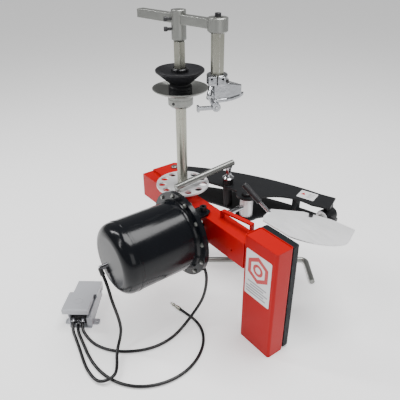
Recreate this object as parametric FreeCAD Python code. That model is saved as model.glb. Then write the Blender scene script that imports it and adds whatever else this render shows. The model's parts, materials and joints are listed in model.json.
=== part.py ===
import FreeCAD, Part
import math
import os

# Pneumatic tyre changer. Millimetres, +Z up. The origin is the centre of the index disc's top
# face, on the axis of the wheel post. +X runs along the beam towards the wheel-support box and
# +Y points back, towards the bead-breaker arm.

V = FreeCAD.Vector
UP = V(0, 0, 1)
BACK = V(0, 1, 0)
RIGHT = V(1, 0, 0)

# Clearance between pieces that fit closely.
RUNNING = 0.05

# Beam and the wheel-support box at its right end.
BEAM_TOP = -44.0
BEAM_FRONT = -38.0
BEAM_WIDTH = 70.0
BEAM_HEIGHT = 98.0
BEAM_WALL = 4.0
BEAM_LEFT = -227.0
BEAM_BOTTOM = BEAM_TOP - BEAM_HEIGHT
BEAM_BACK = BEAM_FRONT + BEAM_WIDTH
FLOOR = BEAM_TOP - 392.0
BOX_LEFT = 392.0
BOX_WIDTH = 145.0
BOX_DEPTH = BEAM_WIDTH
BOX_TOP = BEAM_TOP + 40.0
BOX_WALL = 3.0
BOX_CORNER = 9.0
BOX_RIGHT = BOX_LEFT + BOX_WIDTH
BOX_BACK = BEAM_FRONT + BOX_DEPTH
PAD_THICKNESS = 27.0

# Carry handle: a strap bent down at both ends, set a little askew on the beam.
HANDLE_PLACE = V(222, 1, BEAM_TOP)
HANDLE_YAW = 4.8
HANDLE_LENGTH = 144.0
HANDLE_RISE = (30.0, 40.0)
HANDLE_STRAP = 7.0
HANDLE_WIDTH = 17.0

# Stand under the beam's left end.
LEG_X = -105.0
FOOT_RADIUS = 11.0
FOOT_DIRECTION = V(0.605, 0.797, 0)

# Wheel post, index disc and wheel clamp, with heights above the beam's top face.
POST_RADIUS = 19.0
DISC_RADIUS = 98.0
DISC_THICKNESS = 7.0
DISC_HOLES = 11
DISC_HOLE_RADIUS = 14.0
DISC_HOLE_CIRCLE = 77.0
BEARING_RADIUS = 27.0
COLLAR_LOW = BEAM_TOP + 343.0
COLLAR_HEIGHT = 39.0
POST_TOP = COLLAR_LOW + COLLAR_HEIGHT + 8
SAUCER_RADIUS = 95.0
CONE_LOW = BEAM_TOP + 417.0
CONE_RIM = BEAM_TOP + 470.0
CONE_RADIUS = 82.0
CONE_SEAT = CONE_RIM - 9.0
HEX_FLATS = 36.0
HEX_BORE = HEX_FLATS / math.sqrt(3) + 1.0
SLEEVE_LOW = BEAM_TOP + 559.0
SLEEVE_HIGH = BEAM_TOP + 654.0
SLEEVE_RADIUS = 24.0
JOURNAL_RADIUS = 16.0

# Tool arm.
BAR_SIDE = 28.0
BAR_HEIGHT = BEAM_TOP + 627.0
BAR_YAW = 10.5
BAR_LEFT_REACH = 182.0
SHAFT_REACH = 162.0
SHAFT_COLLAR_RADIUS = 31.0
SHAFT_COLLAR_HEIGHT = 42.0
BAR_LOCK_HEIGHT = BAR_HEIGHT - 1.0
SLEEVE_LOCK_HEIGHT = SLEEVE_LOW + 37.0
LOCK_RADIUS = 4.0
LOCK_TURN = 42.0

# Mount head and its finger.
HEAD_TOP = BEAM_TOP + 484.0
HEAD_CLAMP_HEIGHT = 30.0
RING_LOW = HEAD_TOP - HEAD_CLAMP_HEIGHT
HEAD_YAW = 83.0
CLAMP_YAW = -37.2
FINGER_YAW = 243.0
FINGER_OFFSET = V(15, -16, 0)
FINGER_HEIGHT = BEAM_TOP + 385.0

# Cylinder, swivelling on a vertical line through the beam.
SWIVEL = V(160, -26, 0)
CYLINDER_HEIGHT = BEAM_TOP - 46.0
FLANGE_FACE = -117.0
FLANGE_RADIUS = 152.0
FLANGE_THICKNESS = 8.0
FLANGE_BOLTS = 12
FLANGE_BOLT_CIRCLE = 139.0
BARREL_RADIUS = 121.0
BARREL_WALL = 3.0
BARREL_END = -398.0
BARREL_DISH = 38.0
BARREL_OPEN_END = FLANGE_FACE - FLANGE_THICKNESS
PISTON_FACE = BARREL_OPEN_END - 150.0
ROD_RADIUS = 10.0
LUG_WIDTH = 60.0
LUG_THICKNESS = 8.0

# Bead-breaker arm.
ARM_PIVOT = V(-186, 88, 0)
ARM_PLATE = 8.0
ARM_TOP = BEAM_TOP - 1.0
ARM_BOTTOM = BEAM_BOTTOM + 1.0
ROD_PIVOT = V(158, 184, 0)
ROD_BUSH_RADIUS = 25.0
PIVOT_BOLT_RADIUS = 10.0
STUD = V(50, 181, 0)
STUD_POST_RADIUS = 20.0
STUD_BASE = BEAM_TOP + 27.0
LEVER_RADIUS = 11.5
LEVER_AT_STUD = BEAM_TOP + 86.0
LEVER_TIP = V(48, -64, BEAM_TOP + 65.0)

# Blade at the arm's end.
STEM_RADIUS = 12.5
STEM_LINE = 386.0
STEM_HEIGHT = BEAM_TOP - 51.0
SLEEVE_FRONT = 352.0
SLEEVE_BACK = 406.0
BLADE_TOP = BEAM_TOP - 22.0
BLADE_THICKNESS = 5.0
BLADE_BOLT_Y = 286.0
GRIP_LOW = V(283, 195, BLADE_TOP - BLADE_THICKNESS - 7)
GRIP_HIGH = V(170, 153, BEAM_TOP + 60)

# Foot pedal on the floor.
PEDAL_CENTRE = V(-45.9, -428.3, FLOOR)
PEDAL_YAW = -38.5
PEDAL_REAR = -98.0
PEDAL_FRONT = 89.0
PEDAL_HALF = 41.0
PEDAL_HINGE = (-84.0, 36.0)
PORT_ALONG = 66.0
PORT_LENGTH = 16.0
PORT_PLACES = [(-25.0, 30.0), (-8.0, 17.0), (9.0, 30.0)]

# Hoses: each one as a route, and the tight turn that the rear hose takes over the supply hose.
HOSE_RADIUS = 5.5
HOSE_LOW = FLOOR + HOSE_RADIUS + 1.2
SUPPLY_END = V(172, -144, HOSE_LOW + 3)
U_TURN = V(266, -508, 0)
U_TURN_RADIUS = 37.0
CROSSING = HOSE_LOW + 13.0
U_TURN_STEPS = [
    (54, CROSSING), (27, CROSSING), (0, CROSSING), (-27, CROSSING - 3), (-54, CROSSING - 7),
    (-78, CROSSING - 11),
]


def block(low, high):
    """A box from its lowest corner to its highest corner."""
    size = V(*high) - V(*low)
    return Part.makeBox(size.x, size.y, size.z, V(*low))


def rod(start, end, radius):
    """A solid round bar between two points."""
    along = end - start
    return Part.makeCylinder(radius, along.Length, start, along)


def tube(start, end, outer, inner):
    """A round tube between two points."""
    return rod(start, end, outer).cut(rod(start, end, inner))


def prism(points, low, height):
    """A plate of the given plan outline."""
    corners = [V(x, y, low) for x, y in points]
    face = Part.Face(Part.makePolygon(corners + corners[:1]))
    return face.extrude(V(0, 0, height))


def turned(profile, axis_point=V(0, 0, 0)):
    """A piece turned on a lathe, from its half section of (radius, height) points."""
    corners = [V(radius, 0, height) for radius, height in profile]
    face = Part.Face(Part.makePolygon(corners + corners[:1]))
    piece = face.revolve(V(0, 0, 0), UP, 360)
    piece.translate(V(axis_point.x, axis_point.y, 0))
    return piece


def hexagon(flats, low, height, centre=V(0, 0, 0), turn=0.0):
    """A hexagonal bar standing on Z."""
    radius = flats / math.sqrt(3)
    angles = [math.radians(60 * index + turn) for index in range(6)]
    outline = [(centre.x + radius * math.cos(a), centre.y + radius * math.sin(a)) for a in angles]
    return prism(outline, low, height)


def cap_screw(top_centre, axis, shank_radius, length):
    """A socket cap screw whose head stands on top_centre, with its shank going along axis."""
    axis = V(axis).normalize()
    head_radius = shank_radius * 1.6
    head_height = shank_radius * 2.0
    head = Part.makeCylinder(head_radius, head_height, top_centre - axis * head_height, axis)
    socket_start = top_centre - axis * head_height
    head = head.cut(Part.makeCylinder(shank_radius * 0.8, head_height * 0.55, socket_start, axis))
    return head.fuse(Part.makeCylinder(shank_radius, length, top_centre, axis)).removeSplitter()


def rounded_vertical_edges(solid, radius):
    """Rounds the edges of a solid that run along Z."""
    edges = [edge for edge in solid.Edges if is_vertical(edge)]
    return solid.makeFillet(radius, edges)


def is_vertical(edge):
    along = edge.Vertexes[-1].Point - edge.Vertexes[0].Point
    return along.Length > 1 and abs(along.z) > 0.999 * along.Length


def placed(shape, yaw, centre):
    """A shape drawn about the origin, turned about Z and moved to its place."""
    copy = shape.copy()
    copy.rotate(V(0, 0, 0), UP, yaw)
    copy.translate(centre)
    return copy


def group(solids):
    return Part.makeCompound(solids)


# ---------------------------------------------------------------- frame


def main_beam():
    outside = block((BEAM_LEFT, BEAM_FRONT, BEAM_BOTTOM), (BOX_LEFT, BEAM_BACK, BEAM_TOP))
    inside = block(
        (BEAM_LEFT, BEAM_FRONT + BEAM_WALL, BEAM_BOTTOM + BEAM_WALL),
        (BOX_LEFT, BEAM_BACK - BEAM_WALL, BEAM_TOP - BEAM_WALL),
    )
    beam = outside.cut(inside)
    bearing_hole = rod(V(0, 0, BEAM_BOTTOM - 5), V(0, 0, BEAM_TOP + 5), BEARING_RADIUS)
    trunnion_hole = rod(
        V(SWIVEL.x, SWIVEL.y, BEAM_BOTTOM - 5), V(SWIVEL.x, SWIVEL.y, BEAM_TOP + 5), 8.0
    )
    slot_half_width = ROD_RADIUS + 14
    slot_half_height = ROD_RADIUS + 5
    rod_slot = block(
        (SWIVEL.x - slot_half_width, BEAM_FRONT - 5, CYLINDER_HEIGHT - slot_half_height),
        (SWIVEL.x + slot_half_width, BEAM_BACK + 5, CYLINDER_HEIGHT + slot_half_height),
    )
    drain_hole = rod(V(330, BEAM_FRONT - 5, BEAM_TOP - 60), V(330, 0, BEAM_TOP - 60), 4.0)
    for opening in (bearing_hole, trunnion_hole, rod_slot, drain_hole):
        beam = beam.cut(opening)
    return beam


def support_box():
    outside = block((BOX_LEFT, BEAM_FRONT, FLOOR + 6), (BOX_RIGHT, BOX_BACK, BOX_TOP))
    outside = rounded_vertical_edges(outside, BOX_CORNER)
    inside = block(
        (BOX_LEFT + BOX_WALL, BEAM_FRONT + BOX_WALL, FLOOR),
        (BOX_RIGHT - BOX_WALL, BOX_BACK - BOX_WALL, BOX_TOP + 5),
    )
    inside = rounded_vertical_edges(inside, BOX_CORNER - BOX_WALL)
    return outside.cut(inside)


def closing_plates():
    """The beam's end cap and the plates that close the box at its top and foot."""
    end_cap = block(
        (BEAM_LEFT - BEAM_WALL, BEAM_FRONT, BEAM_BOTTOM), (BEAM_LEFT, BEAM_BACK, BEAM_TOP)
    )
    plate_low = (BOX_LEFT + BOX_WALL, BEAM_FRONT + BOX_WALL, BOX_TOP - 7)
    plate_high = (BOX_RIGHT - BOX_WALL, BOX_BACK - BOX_WALL, BOX_TOP - 3)
    top_plate = rounded_vertical_edges(block(plate_low, plate_high), BOX_CORNER - BOX_WALL)
    foot_plate = block((BOX_LEFT, BEAM_FRONT, FLOOR), (BOX_RIGHT, BOX_BACK, FLOOR + 6))
    return group([end_cap, top_plate, rounded_vertical_edges(foot_plate, BOX_CORNER)])


def rubber_pad():
    pad = block((BOX_LEFT, BOX_BACK, FLOOR + 8), (BOX_RIGHT, BOX_BACK + PAD_THICKNESS, BOX_TOP - 2))
    back_edges = [e for e in pad.Edges if is_vertical(e) and e.Vertexes[0].Y > BOX_BACK + 1]
    return pad.makeFillet(8.0, back_edges)


def pivot_brackets():
    """The two plates, above and below the beam, that hold the breaker arm's pivot bolt."""
    outline_low = (BEAM_LEFT, 8.0)
    outline_high = (ARM_PIVOT.x + 41, ARM_PIVOT.y + 36)
    plates = []
    for low in (BEAM_TOP, BEAM_BOTTOM - 8):
        plate = block((*outline_low, low), (*outline_high, low + 8))
        outer_edges = [e for e in plate.Edges if is_vertical(e) and e.Vertexes[0].Y > 50]
        plate = plate.makeFillet(16.0, outer_edges)
        hole = rod(V(ARM_PIVOT.x, ARM_PIVOT.y, low - 1), V(ARM_PIVOT.x, ARM_PIVOT.y, low + 9),
                   PIVOT_BOLT_RADIUS)
        plates.append(plate.cut(hole))
    return group(plates)


def domed_bolt(centre, low, high, radius, head_radius, head_height):
    """A bolt with a domed head on top and a hexagon nut below."""
    shank = rod(V(centre.x, centre.y, low - 16), V(centre.x, centre.y, high), radius)
    head = rod(V(centre.x, centre.y, high), V(centre.x, centre.y, high + head_height), head_radius)
    top_edges = [e for e in head.Edges if len(e.Vertexes) == 1 and e.Vertexes[0].Z > high + 1]
    head = head.makeFillet(head_height * 0.7, top_edges)
    nut = hexagon(head_radius * 1.7, low - 12, 12, centre)
    return shank.fuse([head, nut]).removeSplitter()


def pivot_bolts():
    """The arm's pivot bolt through both brackets, and the two short bolts of the cylinder swivel."""
    arm_bolt = domed_bolt(ARM_PIVOT, BEAM_BOTTOM - 8, BEAM_TOP + 8, PIVOT_BOLT_RADIUS, 14.0, 8.0)
    lug_face = LUG_THICKNESS + 2.0
    upper_start = V(SWIVEL.x, SWIVEL.y, BEAM_TOP + lug_face)
    lower_start = V(SWIVEL.x, SWIVEL.y, BEAM_BOTTOM - lug_face)
    length = lug_face + BEAM_WALL + 4
    upper = cap_screw(upper_start, V(0, 0, -1), 8.0, length)
    lower = cap_screw(lower_start, V(0, 0, 1), 8.0, length)
    return group([arm_bolt, upper, lower])


def carry_handle():
    """A bent strap that stands on the beam."""
    strap = HANDLE_STRAP
    length = HANDLE_LENGTH
    left_top, right_top = HANDLE_RISE
    outline = [
        (0, 0), (strap, 0), (strap, left_top - strap), (length - strap, right_top - strap),
        (length - strap, 0), (length, 0), (length, right_top), (0, left_top),
    ]
    corners = [V(x, 0, z) for x, z in outline]
    face = Part.Face(Part.makePolygon(corners + corners[:1]))
    bar = face.extrude(V(0, HANDLE_WIDTH, 0))
    outer_corners = [e for e in bar.Edges if is_at(e, 0, left_top)]
    outer_corners += [e for e in bar.Edges if is_at(e, length, right_top)]
    return placed(bar.makeFillet(6.0, outer_corners), HANDLE_YAW, HANDLE_PLACE)


def is_at(edge, x, z):
    """Whether an edge runs along Y at the given place."""
    return all(abs(v.X - x) < 0.01 and abs(v.Z - z) < 0.01 for v in edge.Vertexes)


def post_bearing():
    low = V(0, 0, BEAM_BOTTOM - 8)
    high = V(0, 0, BEAM_TOP + 14)
    return tube(low, high, BEARING_RADIUS, POST_RADIUS + RUNNING)


def stand_leg():
    """The square leg under the beam's left end, notched over the foot bar."""
    half = 20.0
    leg = block((LEG_X - half, -half, FLOOR + FOOT_RADIUS), (LEG_X + half, half, BEAM_BOTTOM))
    bore = block(
        (LEG_X - half + 3, -half + 3, FLOOR), (LEG_X + half - 3, half - 3, BEAM_BOTTOM + 1)
    )
    leg = leg.cut(bore)
    centre = V(LEG_X, 0, FLOOR + FOOT_RADIUS)
    notch = rod(centre - FOOT_DIRECTION * 60, centre + FOOT_DIRECTION * 60, FOOT_RADIUS)
    return leg.cut(notch)


def foot_bar():
    """The round bar on the floor: a long diagonal run, with its back end bent towards the box."""
    centre = V(LEG_X, 0, FLOOR + FOOT_RADIUS)
    front_end = centre - FOOT_DIRECTION * 230
    corner = centre + FOOT_DIRECTION * 585
    turn = V(FOOT_DIRECTION.y, -FOOT_DIRECTION.x, 0)
    tip = corner + turn * 150
    return hose_tube([front_end, corner, tip], FOOT_RADIUS, bend_radius=24.0)


# ---------------------------------------------------------------- post and wheel clamp


def index_disc():
    """The disc with its ring of holes, and the hub that carries it on the post."""
    disc = turned([
        (POST_RADIUS, -DISC_THICKNESS), (DISC_RADIUS, -DISC_THICKNESS), (DISC_RADIUS, 0),
        (POST_RADIUS, 0),
    ])
    hub_low = BEAM_TOP + 14.3
    hub = turned([
        (POST_RADIUS, hub_low), (34.0, hub_low), (34.0, -DISC_THICKNESS),
        (POST_RADIUS, -DISC_THICKNESS),
    ])
    disc = disc.fuse(hub).removeSplitter()
    first = math.radians(-53.0)
    for index in range(DISC_HOLES):
        angle = first + 2 * math.pi * index / DISC_HOLES
        x = DISC_HOLE_CIRCLE * math.cos(angle)
        y = DISC_HOLE_CIRCLE * math.sin(angle)
        disc = disc.cut(rod(V(x, y, -20), V(x, y, 5), DISC_HOLE_RADIUS))
    return disc


def post():
    return tube(V(0, 0, BEAM_BOTTOM - 24), V(0, 0, POST_TOP), POST_RADIUS, JOURNAL_RADIUS)


def retaining_nut():
    """The nut and its washer that hold the post down, under the beam."""
    high = BEAM_BOTTOM - 8.3
    washer = tube(V(0, 0, high - 3), V(0, 0, high), 30.0, POST_RADIUS)
    nut = hexagon(50.0, high - 13, 10)
    nut = nut.cut(rod(V(0, 0, high - 20), V(0, 0, high), POST_RADIUS))
    return group([washer, nut])


def hex_spindle():
    """The hexagonal spindle above the cone, with a plug in the post and a journal for the sleeve."""
    body = hexagon(HEX_FLATS, POST_TOP, SLEEVE_LOW - 0.4 - POST_TOP, turn=25.6)
    plug = rod(V(0, 0, POST_TOP - 150), V(0, 0, POST_TOP + 1), JOURNAL_RADIUS)
    journal = rod(V(0, 0, SLEEVE_LOW - 1), V(0, 0, BAR_HEIGHT - BAR_SIDE / 2 - 2), JOURNAL_RADIUS)
    return body.fuse([plug, journal]).removeSplitter()


def wheel_collar():
    low, high = COLLAR_LOW, COLLAR_LOW + COLLAR_HEIGHT
    outer = 43.0
    return turned([
        (POST_RADIUS, low), (outer - 8, low), (outer, low + 8), (outer, high), (POST_RADIUS, high),
    ])


def wheel_saucer():
    """A shallow dish that the wheel's hub sits in."""
    low = COLLAR_LOW + COLLAR_HEIGHT
    rim = low + 25
    return turned([
        (POST_RADIUS, low), (44.0, low), (SAUCER_RADIUS - 2, rim - 4), (SAUCER_RADIUS, rim),
        (SAUCER_RADIUS - 3, rim + 1), (SAUCER_RADIUS - 6, rim - 2), (42.0, low + 4),
        (POST_RADIUS, low + 4),
    ])


def centring_core():
    """The black core under the cone, with a groove near its top."""
    low = POST_TOP - 0.2
    high = CONE_LOW - 0.3
    outer = 40.0
    lower = COLLAR_LOW + COLLAR_HEIGHT + 4
    return turned([
        (POST_RADIUS, lower), (outer, lower), (outer, high - 4), (outer - 4, high),
        (HEX_BORE, high), (HEX_BORE, low), (POST_RADIUS, low),
    ])


def clamp_cone():
    """The cone that centres the wheel, with a shallow dish in its top for the nut."""
    foot = 35.0
    return turned([
        (HEX_BORE, CONE_LOW), (foot, CONE_LOW), (foot, CONE_LOW + 6), (CONE_RADIUS, CONE_RIM - 7),
        (CONE_RADIUS, CONE_RIM - 2), (CONE_RADIUS - 3, CONE_RIM), (CONE_RADIUS - 12, CONE_RIM - 2),
        (46.0, CONE_SEAT), (HEX_BORE, CONE_SEAT),
    ])


def clamp_nut():
    low = CONE_SEAT + 0.3
    outer = 29.0
    nut = turned([
        (HEX_BORE, low), (outer, low), (outer, low + 9), (outer - 3, low + 12), (HEX_BORE, low + 12),
    ])
    for index in range(6):
        angle = math.radians(60 * index + 12)
        x = outer * math.cos(angle)
        y = outer * math.sin(angle)
        nut = nut.cut(rod(V(x, y, low - 1), V(x, y, low + 13), 3.5))
    return nut


# ---------------------------------------------------------------- tool arm


def along_bar(distance, side=0.0, height=0.0):
    """A point given along and across the cross bar's direction."""
    yaw = math.radians(BAR_YAW)
    return V(
        distance * math.cos(yaw) - side * math.sin(yaw),
        distance * math.sin(yaw) + side * math.cos(yaw),
        height,
    )


def bar_piece(start, end, half, low, high):
    piece = block((start, -half, low), (end, half, high))
    return placed(piece, BAR_YAW, V(0, 0, 0))


def tool_sleeve():
    """The sleeve that turns on the spindle's journal, with a square window for the cross bar."""
    chamfer = 6.0
    sleeve = turned([
        (0, SLEEVE_LOW), (SLEEVE_RADIUS - chamfer, SLEEVE_LOW), (SLEEVE_RADIUS, SLEEVE_LOW + chamfer),
        (SLEEVE_RADIUS, SLEEVE_HIGH - 1.5), (SLEEVE_RADIUS - 1.5, SLEEVE_HIGH), (0, SLEEVE_HIGH),
    ])
    bore_top = BAR_HEIGHT - BAR_SIDE / 2 - 1
    sleeve = sleeve.cut(rod(V(0, 0, SLEEVE_LOW - 1), V(0, 0, bore_top), JOURNAL_RADIUS + RUNNING))
    half = BAR_SIDE / 2 + 0.3
    window = bar_piece(-60, 60, half, BAR_HEIGHT - half, BAR_HEIGHT + half)
    sleeve = sleeve.cut(window)
    for height, reach in ((BAR_LOCK_HEIGHT, half), (SLEEVE_LOCK_HEIGHT, JOURNAL_RADIUS)):
        start = lock_direction() * (reach - 2)
        start.z = height
        end = lock_direction() * 40
        end.z = height
        sleeve = sleeve.cut(rod(start, end, LOCK_RADIUS + RUNNING))
    return sleeve


def lock_direction():
    """The lock bolts stand out of the sleeve towards the front left."""
    angle = math.radians(BAR_YAW - 90 - LOCK_TURN)
    return V(math.cos(angle), math.sin(angle), 0)


def lock_bolt(height, tip):
    """A black clamp bolt with a waisted neck and a round head."""
    outward = lock_direction()
    centre = V(0, 0, height)
    shank = rod(centre + outward * tip, centre + outward * (SLEEVE_RADIUS + 2), LOCK_RADIUS)
    neck = rod(centre + outward * (SLEEVE_RADIUS + 1), centre + outward * (SLEEVE_RADIUS + 13), 5.0)
    head = rod(centre + outward * (SLEEVE_RADIUS + 12), centre + outward * (SLEEVE_RADIUS + 24), 7.5)
    head = head.makeFillet(2.5, head.Edges)
    return shank.fuse([neck, head]).removeSplitter()


def bar_lock_bolt():
    turn = math.radians(LOCK_TURN)
    to_bar = BAR_SIDE / 2 / math.cos(turn) + LOCK_RADIUS * math.tan(turn)
    return lock_bolt(BAR_LOCK_HEIGHT, to_bar + 0.2)


def sleeve_lock_bolt():
    return lock_bolt(SLEEVE_LOCK_HEIGHT, JOURNAL_RADIUS + 0.5)


def cross_bar():
    half = BAR_SIDE / 2
    end = SHAFT_REACH - SHAFT_COLLAR_RADIUS + 2
    bar = bar_piece(-BAR_LEFT_REACH, end, half, BAR_HEIGHT - half, BAR_HEIGHT + half)
    shaft = along_bar(SHAFT_REACH)
    seat = rod(V(shaft.x, shaft.y, BAR_HEIGHT - 40), V(shaft.x, shaft.y, BAR_HEIGHT + 40),
               SHAFT_COLLAR_RADIUS)
    return bar.cut(seat)


def shaft_collar():
    """The round collar welded to the cross bar's end, closed by a lid above the hexagonal shaft."""
    shaft = along_bar(SHAFT_REACH)
    low = BAR_HEIGHT - SHAFT_COLLAR_HEIGHT / 2
    high = BAR_HEIGHT + SHAFT_COLLAR_HEIGHT / 2
    collar = turned([
        (0, low), (SHAFT_COLLAR_RADIUS - 4, low), (SHAFT_COLLAR_RADIUS, low + 4),
        (SHAFT_COLLAR_RADIUS, high - 2), (SHAFT_COLLAR_RADIUS - 2, high), (0, high),
    ], shaft)
    socket = hexagon(HEX_FLATS, low - 1, SHAFT_COLLAR_HEIGHT - 9, shaft, turn=BAR_YAW + 30)
    screw_hole = rod(V(shaft.x, shaft.y, low), V(shaft.x, shaft.y, high + 1), 6.0)
    return collar.cut(socket).cut(screw_hole)


def hex_shaft():
    shaft = along_bar(SHAFT_REACH)
    low = HEAD_TOP - HEAD_CLAMP_HEIGHT + 2
    high = BAR_HEIGHT + SHAFT_COLLAR_HEIGHT / 2 - 10
    bar = hexagon(HEX_FLATS, low, high - low, shaft, turn=BAR_YAW + 30)
    return bar.cut(rod(V(shaft.x, shaft.y, high - 30), V(shaft.x, shaft.y, high + 1), 6.0))


def arm_screws():
    """The cap screw on the shaft collar, and the two clamp screws of the mount head."""
    shaft = along_bar(SHAFT_REACH)
    top = V(shaft.x, shaft.y, BAR_HEIGHT + SHAFT_COLLAR_HEIGHT / 2)
    screws = [cap_screw(top, V(0, 0, -1), 6.0, 32.0)]
    screws.append(cap_screw(clamp_screw_place(), clamp_direction(-90), 4.0, 44.0))
    return group(screws)


def towards(angle):
    """A level direction at an angle from +X."""
    return V(math.cos(math.radians(angle)), math.sin(math.radians(angle)), 0)


def clamp_direction(offset=0.0):
    """A direction given from the split face of the mount head's clamp ring."""
    return towards(CLAMP_YAW + offset)


def head_place(along, across, height):
    """A point given from the shaft's axis, along the foot of the mount head and across it."""
    point = along_bar(SHAFT_REACH) + towards(HEAD_YAW) * along + towards(HEAD_YAW - 90) * across
    return V(point.x, point.y, height)


def clamp_place(outward, side, height):
    """A point given from the shaft's axis, towards the split face and along that face."""
    point = along_bar(SHAFT_REACH) + clamp_direction() * outward + clamp_direction(90) * side
    return V(point.x, point.y, height)


def clamp_screw_place():
    return clamp_place(28, 27, RING_LOW + 15)


def mount_head():
    """The mount head: a split clamp ring on the shaft, a body, a long foot and a bent neck."""
    shaft = along_bar(SHAFT_REACH)
    ring = turned([
        (0, RING_LOW), (33, RING_LOW), (33, HEAD_TOP - 3), (30, HEAD_TOP), (0, HEAD_TOP),
    ], shaft)
    ears = block((6, -27, RING_LOW), (36, 27, HEAD_TOP - 2))
    ears = placed(rounded_vertical_edges(ears, 5.0), CLAMP_YAW, shaft)
    foot_low = RING_LOW - 52
    body_outline = [(-20, -20), (30, -28), (84, -14), (90, -3), (62, 22), (20, 30), (-18, 24)]
    body = prism(body_outline, foot_low, RING_LOW + 2 - foot_low)
    slope = Part.makeBox(90, 90, 60, V(26, -45, RING_LOW + 2))
    slope.rotate(V(26, 0, RING_LOW + 2), V(0, 1, 0), 16)
    body = placed(body.cut(slope), HEAD_YAW, shaft)
    foot = placed(head_foot_outline(foot_low - 4, 10.0), HEAD_YAW, shaft)
    neck_start = head_place(-4, -8, RING_LOW - 6)
    neck_middle = head_place(-20, 0, RING_LOW - 36)
    neck_end = finger_pivot(0)
    neck = rod(neck_start, neck_middle, 15.0)
    neck = neck.fuse(Part.makeSphere(15.0, neck_middle))
    neck = neck.fuse(rod(neck_middle, neck_end, 13.0))
    boss = rod(finger_pivot(-13), finger_pivot(13), 14.0)
    head = ring.fuse([ears, body, foot, neck, boss]).removeSplitter()
    head = head.cut(hexagon(HEX_FLATS, RING_LOW + 2, HEAD_CLAMP_HEIGHT, shaft, turn=BAR_YAW + 30))
    split = placed(block((0, -1.5, RING_LOW + 2), (60, 1.5, HEAD_TOP + 1)), CLAMP_YAW, shaft)
    head = head.cut(split)
    finger_slot = rod(finger_pivot(-6.5), finger_pivot(6.5), 16.0)
    head = head.cut(finger_slot)
    head = head.cut(rod(finger_pivot(-30), finger_pivot(30), 4.0))
    screw = clamp_screw_place()
    head = head.cut(rod(screw + clamp_direction(90) * 10, screw - clamp_direction(90) * 44, 4.0))
    for side in (-17, 17):
        hole_start = clamp_place(27, side, RING_LOW + 21)
        head = head.cut(rod(hole_start, hole_start + clamp_direction() * 12, 3.5))
    return head


def head_foot_outline(low, thickness):
    """The thin foot that follows the wheel's rim: pointed at the back, blunt at the neck."""
    inner_front = V(-26, -18, low)
    tip = V(107, 5, low)
    outer_heel = V(6, 42, low)
    edges = [
        Part.Arc(inner_front, V(46, -27, low), tip).toShape(),
        Part.Arc(tip, V(62, 36, low), outer_heel).toShape(),
        Part.LineSegment(outer_heel, V(-24, 26, low)).toShape(),
        Part.LineSegment(V(-24, 26, low), inner_front).toShape(),
    ]
    return Part.Face(Part.Wire(edges)).extrude(V(0, 0, thickness))


def finger_pivot(across):
    """A point on the finger's pin, which lies level across the finger."""
    point = along_bar(SHAFT_REACH) + FINGER_OFFSET + towards(FINGER_YAW + 90) * across
    return V(point.x, point.y, FINGER_HEIGHT)


def head_finger():
    """The finger that hooks the bead: a round root on the pin, a flat arm and an end lip."""
    centre = finger_pivot(0)
    root = rod(finger_pivot(-6), finger_pivot(6), 12.5)
    arm = placed(Part.makeBox(56, 12, 11, V(0, -6, -9)), FINGER_YAW, centre)
    lip = placed(Part.makeBox(7, 18, 19, V(53, -9, -13)), FINGER_YAW, centre)
    finger = root.fuse([arm, lip]).removeSplitter()
    return finger.cut(rod(finger_pivot(-10), finger_pivot(10), 4.0 + RUNNING))


def finger_pin():
    return rod(finger_pivot(-15), finger_pivot(15), 4.0)


# ---------------------------------------------------------------- cylinder


def on_cylinder(x, y, z):
    """A point given from the cylinder's axis, with y in the row's own frame."""
    return V(SWIVEL.x + x, y, CYLINDER_HEIGHT + z)


def cylinder_turned(profile):
    """A piece turned about the cylinder's axis, from (radius, y) points."""
    corners = [V(SWIVEL.x + radius, y, CYLINDER_HEIGHT) for radius, y in profile]
    face = Part.Face(Part.makePolygon(corners + corners[:1]))
    return face.revolve(V(SWIVEL.x, 0, CYLINDER_HEIGHT), BACK, 360)


def cylinder_barrel():
    """A deep-drawn barrel with a dished end and a flange round its open end."""
    inner = BARREL_RADIUS - BARREL_WALL
    end, wall, dish = BARREL_END, BARREL_WALL, BARREL_DISH
    open_end = BARREL_OPEN_END
    flat = BARREL_RADIUS - dish
    slant = math.sqrt(0.5)
    outer_bend = V(flat + dish * slant, end + dish * (1 - slant), 0)
    inner_bend_radius = dish - wall
    inner_bend = V(
        flat + inner_bend_radius * slant, end + wall + inner_bend_radius * (1 - slant), 0
    )
    edges = [
        Part.LineSegment(V(0, end, 0), V(flat, end, 0)).toShape(),
        Part.Arc(V(flat, end, 0), outer_bend, V(BARREL_RADIUS, end + dish, 0)).toShape(),
    ]
    outline = [
        (BARREL_RADIUS, end + dish), (BARREL_RADIUS, open_end - FLANGE_THICKNESS),
        (FLANGE_RADIUS, open_end - FLANGE_THICKNESS), (FLANGE_RADIUS, open_end),
        (inner, open_end), (inner, end + dish),
    ]
    for start, finish in zip(outline[:-1], outline[1:]):
        edges.append(Part.LineSegment(V(*start, 0), V(*finish, 0)).toShape())
    edges.append(Part.Arc(V(inner, end + dish, 0), inner_bend, V(flat, end + wall, 0)).toShape())
    edges.append(Part.LineSegment(V(flat, end + wall, 0), V(0, end + wall, 0)).toShape())
    edges.append(Part.LineSegment(V(0, end + wall, 0), V(0, end, 0)).toShape())
    barrel = Part.Face(Part.Wire(edges)).revolve(V(0, 0, 0), BACK, 360)
    barrel.translate(V(SWIVEL.x, 0, CYLINDER_HEIGHT))
    for x, z in bolt_places():
        barrel = barrel.cut(rod(on_cylinder(x, open_end - 20, z), on_cylinder(x, open_end, z), 4.0))
    return barrel


def bolt_places():
    places = []
    for index in range(FLANGE_BOLTS):
        angle = math.radians(12.0 + 360.0 * index / FLANGE_BOLTS)
        x = FLANGE_BOLT_CIRCLE * math.cos(angle)
        z = FLANGE_BOLT_CIRCLE * math.sin(angle)
        places.append((x, z))
    return places


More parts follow.
